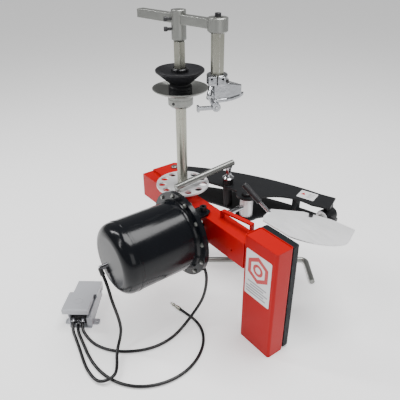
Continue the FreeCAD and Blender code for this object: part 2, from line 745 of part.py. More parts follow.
def cylinder_head():
    """The round plate that closes the barrel's open end, with the rod's gland on it."""
    gland = ROD_RADIUS + RUNNING
    head = cylinder_turned([
        (gland, BARREL_OPEN_END - 12), (30, BARREL_OPEN_END - 12), (30, BARREL_OPEN_END),
        (FLANGE_RADIUS, BARREL_OPEN_END), (FLANGE_RADIUS, FLANGE_FACE), (32, FLANGE_FACE),
        (32, FLANGE_FACE + 12), (gland, FLANGE_FACE + 12),
    ])
    for x, z in bolt_places():
        start = on_cylinder(x, BARREL_OPEN_END - 1, z)
        head = head.cut(rod(start, on_cylinder(x, FLANGE_FACE + 1, z), 4.0))
    port = front_port()
    return head.cut(rod(port - V(0, 14, 0), port + V(0, 8, 0), 5.0))


def front_port():
    """Where the front hose's elbow enters the head plate, low on its front."""
    return on_cylinder(84, FLANGE_FACE, -70)


def flange_bolts():
    bolts = []
    for x, z in bolt_places():
        head_face = on_cylinder(x, BARREL_OPEN_END - FLANGE_THICKNESS, z)
        shank = rod(head_face, on_cylinder(x, FLANGE_FACE + 8, z), 4.0)
        head = rod(head_face - V(0, 6, 0), head_face, 7.0)
        nut_start = on_cylinder(x, FLANGE_FACE, z)
        nut = rod(nut_start, nut_start + V(0, 7, 0), 7.0)
        bolts.append(shank.fuse([head, nut]).removeSplitter())
    return group(bolts)


def swivel_lugs():
    """The two black lugs that hang the cylinder on the beam, above it and below it."""
    half = LUG_WIDTH / 2
    gap = 1.0
    lugs = []
    for low in (BEAM_TOP + gap, BEAM_BOTTOM - gap - LUG_THICKNESS):
        outline = [
            (SWIVEL.x - half, FLANGE_FACE), (SWIVEL.x + half, FLANGE_FACE),
            (SWIVEL.x + half, SWIVEL.y), (SWIVEL.x + half - 14, SWIVEL.y + 20),
            (SWIVEL.x - half + 14, SWIVEL.y + 20), (SWIVEL.x - half, SWIVEL.y),
        ]
        plate = prism(outline, low, LUG_THICKNESS)
        hole = rod(V(SWIVEL.x, SWIVEL.y, low - 1), V(SWIVEL.x, SWIVEL.y, low + 20), 8.0 + RUNNING)
        lugs.append(plate.cut(hole))
    return group(lugs)


def rear_port():
    return on_cylinder(-58, BARREL_END, -54)


def rear_elbow_end():
    return rear_port() + V(15, -13, -15)


def front_elbow_end():
    return front_port() + V(20, 12, -18)


def hose_elbows():
    """The nickel fittings that take the hoses, on the barrel's end and on the head plate."""
    rear = rear_port()
    rear_body = rod(rear, rear - V(0, 16, 0), 9.0)
    rear_elbow = rod(rear - V(0, 13, 0), rear_elbow_end(), 7.0)
    front = front_port()
    front_body = rod(front, front + V(0, 16, 0), 9.0)
    front_elbow = rod(front + V(0, 12, 0), front_elbow_end(), 7.0)
    return group([rear_body.fuse(rear_elbow).removeSplitter(),
                  front_body.fuse(front_elbow).removeSplitter()])


def piston():
    """The piston's disc, with a groove round it for the seal."""
    face = PISTON_FACE
    rim = BARREL_RADIUS - BARREL_WALL - 2
    groove = rim - 6
    return cylinder_turned([
        (8, face), (rim, face), (rim, face - 6), (groove, face - 6), (groove, face - 14),
        (rim, face - 14), (rim, face - 20), (8, face - 20),
    ])


def piston_seal():
    start = PISTON_FACE - 6
    outer = BARREL_RADIUS - BARREL_WALL - 0.3
    inner = BARREL_RADIUS - BARREL_WALL - 8
    return cylinder_turned([(inner, start), (outer, start), (outer, start - 8), (inner, start - 8)])


def piston_rod():
    end = ROD_PIVOT.y - ROD_BUSH_RADIUS + 2
    bar = rod(on_cylinder(0, PISTON_FACE, 0), on_cylinder(0, end, 0), ROD_RADIUS)
    tail = rod(on_cylinder(0, PISTON_FACE - 24, 0), on_cylinder(0, PISTON_FACE + 1, 0), 8.0)
    bush = rod(V(ROD_PIVOT.x, ROD_PIVOT.y, CYLINDER_HEIGHT - 40),
               V(ROD_PIVOT.x, ROD_PIVOT.y, CYLINDER_HEIGHT + 40), ROD_BUSH_RADIUS)
    return bar.fuse(tail).removeSplitter().cut(bush)


def rod_end_bush():
    """The upright bush on the rod's end, loose on the arm's bolt so that the linkage stays free."""
    low = V(ROD_PIVOT.x, ROD_PIVOT.y, ARM_BOTTOM + ARM_PLATE + 1.5)
    high = V(ROD_PIVOT.x, ROD_PIVOT.y, ARM_TOP - ARM_PLATE - 1.5)
    return tube(low, high, ROD_BUSH_RADIUS, PIVOT_BOLT_RADIUS - 2 + 2.5)


# ---------------------------------------------------------------- bead-breaker arm


def arm_plate(low):
    """One of the two crescent plates: a boss at the pivot, a lobe for the rod, a blunt end."""
    z = low
    boss_outer = V(-206, 124, z)
    boss_side = V(-226, 80, z)
    boss_inner = V(-168, 54, z)
    lobe_start = V(112, 176, z)
    lobe_tip = V(160, 149, z)
    lobe_end = V(196, 202, z)
    outer_end = V(322, 410, z)
    tip_outer = V(377, 431, z)
    tip_inner = V(412, 355, z)
    inner_end = V(352, 324, z)
    edges = [
        Part.Arc(boss_outer, V(60, 314, z), outer_end).toShape(),
        Part.LineSegment(outer_end, tip_outer).toShape(),
        Part.LineSegment(tip_outer, tip_inner).toShape(),
        Part.LineSegment(tip_inner, inner_end).toShape(),
        Part.Arc(inner_end, V(250, 286, z), lobe_end).toShape(),
        Part.Arc(lobe_end, lobe_tip, lobe_start).toShape(),
        Part.Arc(lobe_start, V(30, 150, z), boss_inner).toShape(),
        Part.Arc(boss_inner, boss_side, boss_outer).toShape(),
    ]
    plate = Part.Face(Part.Wire(edges)).extrude(V(0, 0, ARM_PLATE))
    holes = [(ARM_PIVOT, 17.0), (ROD_PIVOT, PIVOT_BOLT_RADIUS - 2), (STUD, STUD_POST_RADIUS)]
    for centre, radius in holes:
        plate = plate.cut(rod(V(centre.x, centre.y, z - 1), V(centre.x, centre.y, z + 20), radius))
    return plate


def arm_upper_plate():
    return arm_plate(ARM_TOP - ARM_PLATE)


def arm_lower_plate():
    return arm_plate(ARM_BOTTOM)


def arm_pivot_bush():
    low = V(ARM_PIVOT.x, ARM_PIVOT.y, ARM_BOTTOM - 0.5)
    high = V(ARM_PIVOT.x, ARM_PIVOT.y, ARM_TOP + 0.5)
    return tube(low, high, 17.0, PIVOT_BOLT_RADIUS + RUNNING)


def arm_spacers():
    """The round post under the lever's stud and the square bar near the arm's end."""
    low = ARM_BOTTOM
    post_piece = rod(V(STUD.x, STUD.y, low), V(STUD.x, STUD.y, STUD_BASE), STUD_POST_RADIUS)
    bar_low = ARM_BOTTOM + ARM_PLATE
    bar = block((262, 322, bar_low), (284, 344, ARM_TOP - ARM_PLATE))
    return group([post_piece, bar])


def rod_pivot_bolt():
    return domed_bolt(ROD_PIVOT, ARM_BOTTOM, ARM_TOP, PIVOT_BOLT_RADIUS - 2, 20.0, 12.0)


def lock_screw_start():
    return V(STEM_LINE + 26, 372, STEM_HEIGHT + 4)


def blade_sleeve():
    """The round sleeve between the plates' ends that the blade's stem turns in, with its lug."""
    outer = 26.0
    start = V(STEM_LINE, SLEEVE_FRONT, STEM_HEIGHT)
    end = V(STEM_LINE, SLEEVE_BACK, STEM_HEIGHT)
    sleeve = rod(start, end, outer)
    web_low = ARM_BOTTOM + ARM_PLATE
    web_high = ARM_TOP - ARM_PLATE
    web = block((STEM_LINE - 8, 366, web_low), (STEM_LINE + 8, SLEEVE_BACK - 8, web_high))
    sleeve = sleeve.fuse(web).removeSplitter()
    screw = lock_screw_start()
    sleeve = sleeve.cut(rod(screw - RIGHT * 12, screw + RIGHT * 10, 5.0))
    return sleeve.cut(rod(start - BACK, end + BACK, STEM_RADIUS + RUNNING))


def blade_lock_screws():
    """The clamp screw of the stem, with its black knob, on the sleeve's right side."""
    start = lock_screw_start()
    shank = rod(start - RIGHT * 10, start + RIGHT * 10, 5.0)
    knob = rod(start + RIGHT * 8, start + RIGHT * 22, 10.0)
    knob = knob.makeFillet(3.0, knob.Edges)
    return shank.fuse(knob).removeSplitter()


def lever_stud():
    """The waisted chrome stud that the lever turns on."""
    top = lever_height(STUD.y) - 8.0
    return turned([
        (0, STUD_BASE), (23, STUD_BASE), (23, STUD_BASE + 4), (14, STUD_BASE + 12),
        (10, STUD_BASE + 26), (12, top - 8), (15, top - 2), (15, top), (0, top),
    ], STUD)


def lever_height(y):
    """The height of the lever's axis, which falls from the stud towards the disc."""
    fraction = (STUD.y - y) / (STUD.y - LEVER_TIP.y)
    return LEVER_AT_STUD + (LEVER_TIP.z - LEVER_AT_STUD) * fraction


def lever_bar():
    """The tube that swings on the stud, and the pin under its tip that reaches for the disc."""
    start = V(STUD.x, STUD.y + 22, lever_height(STUD.y + 22))
    bar = rod(start, LEVER_TIP, LEVER_RADIUS)
    stud_top = V(STUD.x, STUD.y, lever_height(STUD.y) - 8)
    stud_space = rod(V(STUD.x, STUD.y, STUD_BASE), stud_top, 15.5)
    bar = bar.cut(stud_space)
    pin_x, pin_y = LEVER_TIP.x, LEVER_TIP.y + 12
    pin = rod(V(pin_x, pin_y, 1.0), V(pin_x, pin_y, LEVER_TIP.z - 4), 6.0)
    return bar.fuse(pin).removeSplitter()


# ---------------------------------------------------------------- blade


def blade_plate():
    """The broad bead-breaker blade: straight back edges, a round nose and a blunt left end."""
    z = BLADE_TOP - BLADE_THICKNESS
    back_left = V(263, 210, z)
    back = V(348, 289, z)
    back_right = V(448, 329, z)
    nose_back = V(536, 341, z)
    nose_front = V(565, 272, z)
    front_right = V(426, 134, z)
    front_left = V(300, 133, z)
    left = V(282, 153, z)
    front_curve = Part.BSplineCurve()
    front_curve.interpolate([
        nose_front, V(566, 238, z), V(540, 200, z), V(497, 165, z), front_right,
    ])
    corners = [front_right, front_left, left, back_left, back, back_right, nose_back, nose_front]
    edges = [front_curve.toShape()]
    for start, end in zip(corners[:-1], corners[1:]):
        edges.append(Part.LineSegment(start, end).toShape())
    plate = Part.Face(Part.Wire(edges)).extrude(V(0, 0, BLADE_THICKNESS))
    hole = rod(V(STEM_LINE, BLADE_BOLT_Y, z - 1), V(STEM_LINE, BLADE_BOLT_Y, z + 10), 5.0)
    return plate.cut(hole)


def blade_stem():
    """The bar that carries the blade: round in the arm's sleeve, with a seat block under the blade."""
    bar = rod(V(STEM_LINE, 296, STEM_HEIGHT), V(STEM_LINE, SLEEVE_BACK + 6, STEM_HEIGHT),
              STEM_RADIUS)
    seat_top = BLADE_TOP - BLADE_THICKNESS
    seat = block((STEM_LINE - 16, 180, STEM_HEIGHT - 8), (STEM_LINE + 16, 302, seat_top))
    hole = rod(V(STEM_LINE, BLADE_BOLT_Y, STEM_HEIGHT - 20),
               V(STEM_LINE, BLADE_BOLT_Y, seat_top + 1), 5.0)
    return bar.fuse(seat).removeSplitter().cut(hole)


def blade_bolt():
    return cap_screw(V(STEM_LINE, BLADE_BOLT_Y, BLADE_TOP), V(0, 0, -1), 5.0, 30.0)


def blade_handle_rod():
    """The bar under the blade's left end that rises to the grip."""
    along = GRIP_HIGH - GRIP_LOW
    end = GRIP_LOW + along * 0.5
    under_blade = BLADE_TOP - BLADE_THICKNESS
    foot = block((GRIP_LOW.x - 10, GRIP_LOW.y - 9, GRIP_LOW.z - 6),
                 (GRIP_LOW.x + 62, GRIP_LOW.y + 9, under_blade))
    handle = rod(GRIP_LOW, end, 6.5).fuse(foot).removeSplitter()
    blade_space = block((250, 100, under_blade), (600, 400, BLADE_TOP))
    return handle.cut(blade_space.common(blade_plate()))


def blade_grip():
    along = GRIP_HIGH - GRIP_LOW
    start = GRIP_LOW + along * 0.42
    grip = rod(start, GRIP_HIGH, 12.0)
    grip = grip.makeFillet(4.0, [e for e in grip.Edges if len(e.Vertexes) == 1])
    return grip.cut(rod(GRIP_LOW, GRIP_LOW + along * 0.5, 6.5))


# ---------------------------------------------------------------- foot pedal


def on_pedal(along, across, height):
    """A point given from the pedal's centre: along towards its front, across to its right."""
    yaw = math.radians(PEDAL_YAW)
    x = PEDAL_CENTRE.x + along * math.cos(yaw) - across * math.sin(yaw)
    y = PEDAL_CENTRE.y + along * math.sin(yaw) + across * math.cos(yaw)
    return V(x, y, FLOOR + height)


def pedal_side(points, low, high):
    """A shape drawn on the pedal's side view, (along, height), between two widths."""
    corners = [V(along, low, height) for along, height in points]
    face = Part.Face(Part.makePolygon(corners + corners[:1]))
    return placed(face.extrude(V(0, high - low, 0)), PEDAL_YAW, PEDAL_CENTRE)


def pedal_housing():
    """The cast housing: a base plate with slotted ears, tall side cheeks and the valve block."""
    base = block((PEDAL_REAR, -PEDAL_HALF, 0), (PEDAL_FRONT, PEDAL_HALF, 5))
    base = rounded_vertical_edges(base, 6.0)
    for side in (-1, 1):
        low, high = sorted((side * (PEDAL_HALF - 5), side * (PEDAL_HALF + 22)))
        ear = rounded_vertical_edges(block((44, low, 0), (70, high, 5)), 6.0)
        slot_middle = side * (PEDAL_HALF + 12)
        slot = block((53.5, slot_middle - 5, -1), (60.5, slot_middle + 5, 6))
        base = base.fuse(ear.cut(rounded_vertical_edges(slot, 3.4)))
    base = placed(base.removeSplitter(), PEDAL_YAW, PEDAL_CENTRE)
    cheek = [(-94, 4), (-94, 40), (-84, 48), (-60, 52), (60, 60), (84, 58), (84, 4)]
    left = pedal_side(cheek, -PEDAL_HALF, -PEDAL_HALF + 4)
    right = pedal_side(cheek, PEDAL_HALF - 4, PEDAL_HALF)
    valve = pedal_side([(-30, 4), (-30, 42), (66, 42), (66, 4)], -PEDAL_HALF + 8, PEDAL_HALF - 10)
    front_wall = pedal_side([(60, 4), (60, 50), (84, 46), (84, 4)], 24, PEDAL_HALF - 3)
    housing = base.fuse([left, right, valve, front_wall]).removeSplitter()
    along, height = PEDAL_HINGE
    return housing.cut(rod(on_pedal(along, -60, height), on_pedal(along, 60, height), 4.0))


def pedal_treadle():
    """The hollow treadle: a rear part on the hinge, and a front part set over to the left."""
    outer, inner = PEDAL_HALF + 4.6, PEDAL_HALF + 0.6
    rear = pedal_side([(-103, 30), (-103, 60), (-98, 65), (-10, 76), (-10, 58), (-66, 52),
                       (-70, 28), (-98, 28)], -outer, outer)
    rear_hollow = pedal_side([(-98, 20), (-98, 58), (-95, 61), (0, 73), (0, 20)], -inner, inner)
    front = pedal_side([(-22, 74.6), (84, 88), (89, 84), (88, 66), (-22, 54)], -60, 34)
    front_hollow = pedal_side([(-18, 40), (-18, 70.6), (80, 83), (84, 79), (83, 40)], -56, 30)
    treadle = rear.fuse(front).cut(rear_hollow).cut(front_hollow).removeSplitter()
    along, height = PEDAL_HINGE
    return treadle.cut(rod(on_pedal(along, -60, height), on_pedal(along, 60, height), 4.0 + RUNNING))


def pedal_pin():
    along, height = PEDAL_HINGE
    return rod(on_pedal(along, -PEDAL_HALF - 7, height), on_pedal(along, PEDAL_HALF + 7, height), 4.0)


def pedal_ports():
    """The nickel push-in fittings at the pedal's front, one for each hose."""
    ports = []
    for index, (across, height) in enumerate(PORT_PLACES):
        ahead, end = into_port(index)
        back = (end - ahead).normalize()
        body_height = height + 3
        body = rod(on_pedal(PORT_ALONG, across, body_height),
                   on_pedal(PORT_ALONG + 9, across, body_height), 7.5)
        ports.append(body.fuse(rod(end + back * 9, end, 7.5)).removeSplitter())
    return group(ports)


# ---------------------------------------------------------------- hoses


def hose_tube(points, radius, bend_radius=None):
    """A round tube along straight runs joined by tangent arcs, as large as the runs allow."""
    runs = [(b - a).Length for a, b in zip(points[:-1], points[1:])]
    edges = []
    reached = points[0]
    for index in range(1, len(points) - 1):
        before = (points[index] - points[index - 1]).normalize()
        after = (points[index + 1] - points[index]).normalize()
        turn = before.getAngle(after)
        shorter = min(runs[index - 1], runs[index])
        arc_radius = bend_radius or 0.45 * shorter / math.tan(turn / 2)
        setback = arc_radius * math.tan(turn / 2)
        arc_start = points[index] - before * setback
        arc_end = points[index] + after * setback
        inward = (after - before).normalize()
        to_centre = arc_radius / math.cos(turn / 2)
        middle = points[index] + inward * (to_centre - arc_radius)
        edges.append(Part.LineSegment(reached, arc_start).toShape())
        edges.append(Part.Arc(arc_start, middle, arc_end).toShape())
        reached = arc_end
        if bend_radius is None:
            print("    bend radius %.0f mm, turn %.0f degrees" % (arc_radius, math.degrees(turn)))
    edges.append(Part.LineSegment(reached, points[-1]).toShape())
    path = Part.Wire(edges)
    start_direction = points[1] - points[0]
    profile = Part.Wire([Part.makeCircle(radius, points[0], start_direction)])
    solid = path.makePipeShell([profile], True, False)
    expected = math.pi * radius ** 2 * path.Length
    print("    length %.0f mm, volume ratio %.4f" % (path.Length, solid.Volume / expected))
    return solid


def into_port(index):
    """The last two points of a hose, in line with one of the pedal's three fittings."""
    across, height = PORT_PLACES[index]
    face = PORT_ALONG + PORT_LENGTH
    return [on_pedal(face + 26, across, 10.0 + 0.25 * height), on_pedal(face, across, height)]


def rear_hose_points():
    """From the barrel's end, over the front hose, round a tight turn over the supply hose."""
    points = [
        rear_elbow_end(), rear_elbow_end() + V(26, 0, -26), V(172, -414, FLOOR + 200),
        V(190, -408, FLOOR + 148), V(198, -404, FLOOR + 96), V(200, -412, FLOOR + 56),
        V(210, -430, FLOOR + 29), V(234, -448, CROSSING + 2), V(262, -462, CROSSING),
    ]
    for angle, height in U_TURN_STEPS:
        turn = math.radians(angle)
        point = U_TURN + V(math.cos(turn), math.sin(turn), 0) * U_TURN_RADIUS
        points.append(V(point.x, point.y, height))
    points += [
        V(246, -549, HOSE_LOW + 1), V(204, -548, HOSE_LOW), V(160, -540, HOSE_LOW),
        V(118, -531, HOSE_LOW + 1), V(78, -524, HOSE_LOW + 3),
    ]
    return points + into_port(0)


def front_hose_points():
    return [
        front_elbow_end(), front_elbow_end() + V(16, 0, -14.4), V(284, -105, FLOOR + 206),
        V(276, -105, FLOOR + 156), V(262, -106, FLOOR + 108), V(248, -116, FLOOR + 66),
        V(244, -144, FLOOR + 32), V(252, -184, FLOOR + 14), V(264, -228, HOSE_LOW),
        V(271, -274, HOSE_LOW), V(267, -324, HOSE_LOW), V(249, -372, HOSE_LOW),
        V(220, -418, HOSE_LOW), V(182, -454, HOSE_LOW), V(140, -477, HOSE_LOW),
        V(98, -487, HOSE_LOW + 2), *into_port(2),
    ]


def supply_hose_points():
    return [
        SUPPLY_END, V(206, -137, HOSE_LOW + 1), V(250, -130, HOSE_LOW), V(302, -138, HOSE_LOW),
        V(352, -168, HOSE_LOW), V(392, -218, HOSE_LOW), V(416, -278, HOSE_LOW),
        V(420, -338, HOSE_LOW), V(406, -398, HOSE_LOW), V(374, -452, HOSE_LOW),
        V(326, -492, HOSE_LOW), V(270, -514, HOSE_LOW), V(212, -522, HOSE_LOW),
        V(156, -519, HOSE_LOW), V(106, -511, HOSE_LOW + 2), *into_port(1),
    ]


def air_plug():
    """The quick-connect plug and its hexagon ferrule on the supply hose's free end."""
    points = supply_hose_points()
    outward = (points[0] - points[1]).normalize()
    ferrule_end = SUPPLY_END + outward * 18
    ferrule = rod(SUPPLY_END, ferrule_end, 7.5)
    plug = rod(ferrule_end, ferrule_end + outward * 16, 5.0)
    plug = plug.fuse(rod(ferrule_end + outward * 14, ferrule_end + outward * 22, 6.2))
    plug = plug.fuse(rod(ferrule_end + outward * 22, ferrule_end + outward * 32, 4.0))
    return group([ferrule, plug.removeSplitter()])


# ---------------------------------------------------------------- nodes

NODES = [
    main_beam, support_box, closing_plates, rubber_pad, pivot_brackets, pivot_bolts, carry_handle,
    post_bearing, stand_leg, foot_bar,
    index_disc, post, retaining_nut, hex_spindle, wheel_collar, wheel_saucer, centring_core,
    clamp_cone, clamp_nut,
    tool_sleeve, bar_lock_bolt, sleeve_lock_bolt, cross_bar, shaft_collar, hex_shaft, arm_screws,
    mount_head, head_finger, finger_pin,
    cylinder_barrel, cylinder_head, flange_bolts, swivel_lugs, hose_elbows,
    piston, piston_seal, piston_rod, rod_end_bush,
    arm_upper_plate, arm_lower_plate, arm_pivot_bush, arm_spacers, rod_pivot_bolt, blade_sleeve,
    blade_lock_screws, lever_stud, lever_bar,
    blade_plate, blade_stem, blade_bolt, blade_handle_rod, blade_grip,
    pedal_housing, pedal_treadle, pedal_pin, pedal_ports,
    air_plug,
]
HOSES = {
    "rear_hose": rear_hose_points,
    "front_hose": front_hose_points,
    "supply_hose": supply_hose_points,
}


def main():
    os.makedirs("parts", exist_ok=True)
    for make in NODES:
        make().exportStep("parts/%s.step" % make.__name__)
    for name, points in HOSES.items():
        print(name)
        hose_tube(points(), HOSE_RADIUS).exportStep("parts/%s.step" % name)


main()
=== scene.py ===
import json
import math
import random

import bmesh
import bpy
from mathutils import Matrix, Vector, noise


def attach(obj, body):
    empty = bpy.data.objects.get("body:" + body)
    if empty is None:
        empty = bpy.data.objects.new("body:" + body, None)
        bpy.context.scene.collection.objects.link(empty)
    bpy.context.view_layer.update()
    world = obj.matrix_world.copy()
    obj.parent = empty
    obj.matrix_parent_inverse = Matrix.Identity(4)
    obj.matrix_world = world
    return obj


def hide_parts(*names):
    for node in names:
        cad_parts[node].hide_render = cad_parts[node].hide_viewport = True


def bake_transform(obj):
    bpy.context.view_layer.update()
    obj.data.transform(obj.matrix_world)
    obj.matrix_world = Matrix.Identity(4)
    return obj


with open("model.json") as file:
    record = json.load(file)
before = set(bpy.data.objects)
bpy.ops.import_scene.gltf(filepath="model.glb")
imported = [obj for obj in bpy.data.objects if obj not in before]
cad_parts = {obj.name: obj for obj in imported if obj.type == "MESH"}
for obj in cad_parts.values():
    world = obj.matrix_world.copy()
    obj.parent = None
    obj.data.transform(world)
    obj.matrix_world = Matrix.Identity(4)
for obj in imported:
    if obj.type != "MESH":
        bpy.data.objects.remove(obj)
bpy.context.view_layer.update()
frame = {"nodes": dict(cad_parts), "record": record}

# Looks of the pneumatic tyre changer, in the row frame and in metres. MM turns millimetres into
# metres. The origin is the centre of the index disc's top face.
MM = 0.001
BEAM_TOP = -44.0
BEAM_FRONT = -38.0
BEAM_BOTTOM = BEAM_TOP - 98.0
BEAM_BACK = 32.0
FLOOR = BEAM_TOP - 392.0
BOX_LEFT = 392.0
BEAM_LEFT = -227.0
BRACKET_RIGHT = -145.0
BRACKET_FRONT = 8.5
LEG_X = -105.0
ARM_PIVOT = (-186.0, 88.0)
ROD_PIVOT = (158.0, 184.0)
STEM_LINE = 386.0
STEM_HEIGHT = BEAM_TOP - 51.0
HANDLE_LEFT = 222.0
HANDLE_TURN = math.radians(4.8)
UP = Vector((0, 0, 1))


def mm(x, y, z):
    """A point given in millimetres."""
    return Vector((x, y, z)) * MM


# ---------------------------------------------------------------- materials


def add_node(tree, kind, inputs=None, **settings):
    """A shader node, with its inputs set to constants or linked to other nodes' sockets."""
    made = tree.nodes.new(kind)
    for key, value in settings.items():
        setattr(made, key, value)
    for key, value in (inputs or {}).items():
        if isinstance(value, bpy.types.NodeSocket):
            tree.links.new(value, made.inputs[key])
        else:
            made.inputs[key].default_value = value
    return made


def noise_of(tree, place, scale, detail=3.0, roughness=0.55):
    made = add_node(tree, "ShaderNodeTexNoise",
                    {"Vector": place, "Scale": scale, "Detail": detail, "Roughness": roughness})
    return made.outputs["Fac"]


def ranged(tree, value, low, high, to_low, to_high):
    made = add_node(tree, "ShaderNodeMapRange", {
        "Value": value, "From Min": low, "From Max": high, "To Min": to_low, "To Max": to_high,
    })
    return made.outputs["Result"]


def mixed(tree, factor, first, second):
    made = add_node(tree, "ShaderNodeMix", data_type="RGBA")
    for index, value in ((0, factor), (6, first), (7, second)):
        if isinstance(value, bpy.types.NodeSocket):
            tree.links.new(value, made.inputs[index])
        else:
            made.inputs[index].default_value = value
    return made.outputs[2]


def shade(color, factor):
    return tuple(min(1.0, c * factor) for c in color) + (1.0,)


def surface(name, color, rough, metallic=0.0, coat=0.0, mottle=0.08, mottle_scale=9.0,
            rough_spread=0.06, rough_scale=45.0, bumps=((700.0, 0.08),), stretch=(1, 1, 1),
            wear=None, specular=0.5):
    """A material whose colour, roughness and height vary over the surface, with worn edges."""
    material = bpy.data.materials.new(name)
    material.use_nodes = True
    tree = material.node_tree
    shader = tree.nodes["Principled BSDF"]
    coordinates = add_node(tree, "ShaderNodeTexCoord").outputs["Object"]
    place = add_node(tree, "ShaderNodeMapping", {"Vector": coordinates, "Scale": stretch})
    place = place.outputs["Vector"]
    broad = noise_of(tree, coordinates, mottle_scale)
    colors = mixed(tree, broad, shade(color, 1 - mottle), shade(color, 1 + mottle))
    fine = noise_of(tree, place, rough_scale, detail=5.0)
    roughness = ranged(tree, fine, 0.3, 0.7, rough - rough_spread, rough + rough_spread)
    if wear:
        wear_color, wear_rough, wear_low = wear
        edge = add_node(tree, "ShaderNodeAttribute", attribute_name="edge").outputs["Fac"]
        patches = noise_of(tree, coordinates, 60.0, detail=6.0, roughness=0.7)
        worn = ranged(tree, patches, wear_low, wear_low + 0.08, 0.0, 1.0)
        worn = add_node(tree, "ShaderNodeMath", {0: worn, 1: edge}, operation="MULTIPLY")
        worn = worn.outputs[0]
        colors = mixed(tree, worn, colors, wear_color + (1.0,))
        rough_mix = add_node(tree, "ShaderNodeMapRange", {
            "Value": worn, "To Min": roughness, "To Max": wear_rough,
        })
        roughness = rough_mix.outputs["Result"]
    tree.links.new(colors, shader.inputs["Base Color"])
    tree.links.new(roughness, shader.inputs["Roughness"])
    shader.inputs["Metallic"].default_value = metallic
    shader.inputs["Coat Weight"].default_value = coat
    shader.inputs["Coat Roughness"].default_value = 0.06
    shader.inputs["Specular IOR Level"].default_value = specular
    normal = None
    for scale, strength in bumps:
        height = noise_of(tree, place, scale, detail=2.0)
        inputs = {"Height": height, "Strength": strength, "Distance": 0.001}
        if normal is not None:
            inputs["Normal"] = normal
        normal = add_node(tree, "ShaderNodeBump", inputs).outputs["Normal"]
    if normal is not None:
        tree.links.new(normal, shader.inputs["Normal"])
    return material


def red_paint():
    return surface("red_paint", (0.42, 0.002, 0.003), 0.30, coat=0.02, mottle=0.05,
                   rough_spread=0.02, specular=0.12,
                   bumps=((260.0, 0.10), (1400.0, 0.05)), wear=((0.30, 0.012, 0.014), 0.5, 0.56))


def gloss_black():
    return surface("gloss_black", (0.0045, 0.0052, 0.007), 0.17, coat=0.05, mottle=0.2,
                   rough_spread=0.03, specular=0.22, bumps=((120.0, 0.05), (1500.0, 0.04)),
                   wear=((0.05, 0.05, 0.055), 0.45, 0.60))


def satin_black():
    return surface("satin_black", (0.010, 0.0105, 0.012), 0.42, mottle=0.25, rough_spread=0.07,
                   specular=0.3,
                   bumps=((900.0, 0.18), (90.0, 0.06)), wear=((0.09, 0.09, 0.095), 0.5, 0.55))


def zinc():
    return surface("zinc", (0.27, 0.275, 0.26), 0.36, metallic=0.9, mottle=0.10, mottle_scale=22.0,
                   rough_spread=0.08, rough_scale=120.0, stretch=(1, 1, 0.12),
                   bumps=((900.0, 0.10),), wear=((0.42, 0.42, 0.40), 0.28, 0.50))


def silver_plate():
    return surface("silver_plate", (0.86, 0.86, 0.87), 0.45, metallic=0.45, mottle=0.05,
                   rough_spread=0.07, rough_scale=160.0, stretch=(0.1, 1, 1),
                   bumps=((1000.0, 0.08),), wear=((0.45, 0.45, 0.46), 0.4, 0.48))


def chrome():
    return surface("chrome", (0.50, 0.50, 0.52), 0.16, metallic=1.0, mottle=0.06,
                   rough_spread=0.05, bumps=((160.0, 0.10), (900.0, 0.04)))


def cast_chrome():
    return surface("cast_chrome", (0.38, 0.39, 0.41), 0.19, metallic=1.0, mottle=0.10,
                   mottle_scale=30.0, rough_spread=0.07, bumps=((130.0, 0.45), (700.0, 0.12)))


def passivated():
    """Zinc with the faint yellow and green of its passivation."""
    material = surface("passivated", (0.34, 0.34, 0.29), 0.30, metallic=0.95, mottle=0.16,
                       mottle_scale=14.0, rough_spread=0.09, rough_scale=90.0,
                       stretch=(1, 1, 0.08), bumps=((1200.0, 0.10),),
                       wear=((0.7, 0.7, 0.68), 0.22, 0.5))
    return material


def dark_steel():
    return surface("dark_steel", (0.013, 0.013, 0.015), 0.33, metallic=0.2, mottle=0.3,
                   bumps=((800.0, 0.2),), wear=((0.12, 0.12, 0.12), 0.4, 0.58))


def black_plastic():
    return surface("black_plastic", (0.018, 0.018, 0.020), 0.42, mottle=0.18, rough_spread=0.08,
                   bumps=((1100.0, 0.30),))


def cone_rubber():
    return surface("cone_rubber", (0.009, 0.009, 0.011), 0.50, mottle=0.25, specular=0.25,
                   rough_spread=0.08,
                   bumps=((500.0, 0.25), (60.0, 0.05)), wear=((0.05, 0.05, 0.055), 0.6, 0.52))


def pad_rubber():
    return surface("pad_rubber", (0.009, 0.011, 0.013), 0.52, mottle=0.2, specular=0.15,
                   rough_spread=0.1,
                   bumps=((420.0, 0.3), (45.0, 0.1)), wear=((0.06, 0.06, 0.065), 0.7, 0.5))


def hose_rubber():
    return surface("hose_rubber", (0.007, 0.007, 0.008), 0.32, coat=0.1, specular=0.35, mottle=0.2,
                   bumps=((260.0, 0.12),))


def pedal_alloy():
    return surface("pedal_alloy", (0.45, 0.46, 0.49), 0.42, metallic=0.15, mottle=0.05,
                   rough_spread=0.07, bumps=((520.0, 0.22), (1500.0, 0.1)),
                   wear=((0.62, 0.62, 0.64), 0.35, 0.52))


def label_white():
    return surface("label_white", (0.74, 0.74, 0.75), 0.35, coat=0.3, mottle=0.03,
                   bumps=((200.0, 0.04),))


def label_red():
    return surface("label_red", (0.50, 0.012, 0.016), 0.35, coat=0.3, mottle=0.04,
                   bumps=((200.0, 0.04),))


def label_grey():
    return surface("label_grey", (0.30, 0.30, 0.32), 0.4, mottle=0.05, bumps=((200.0, 0.04),))


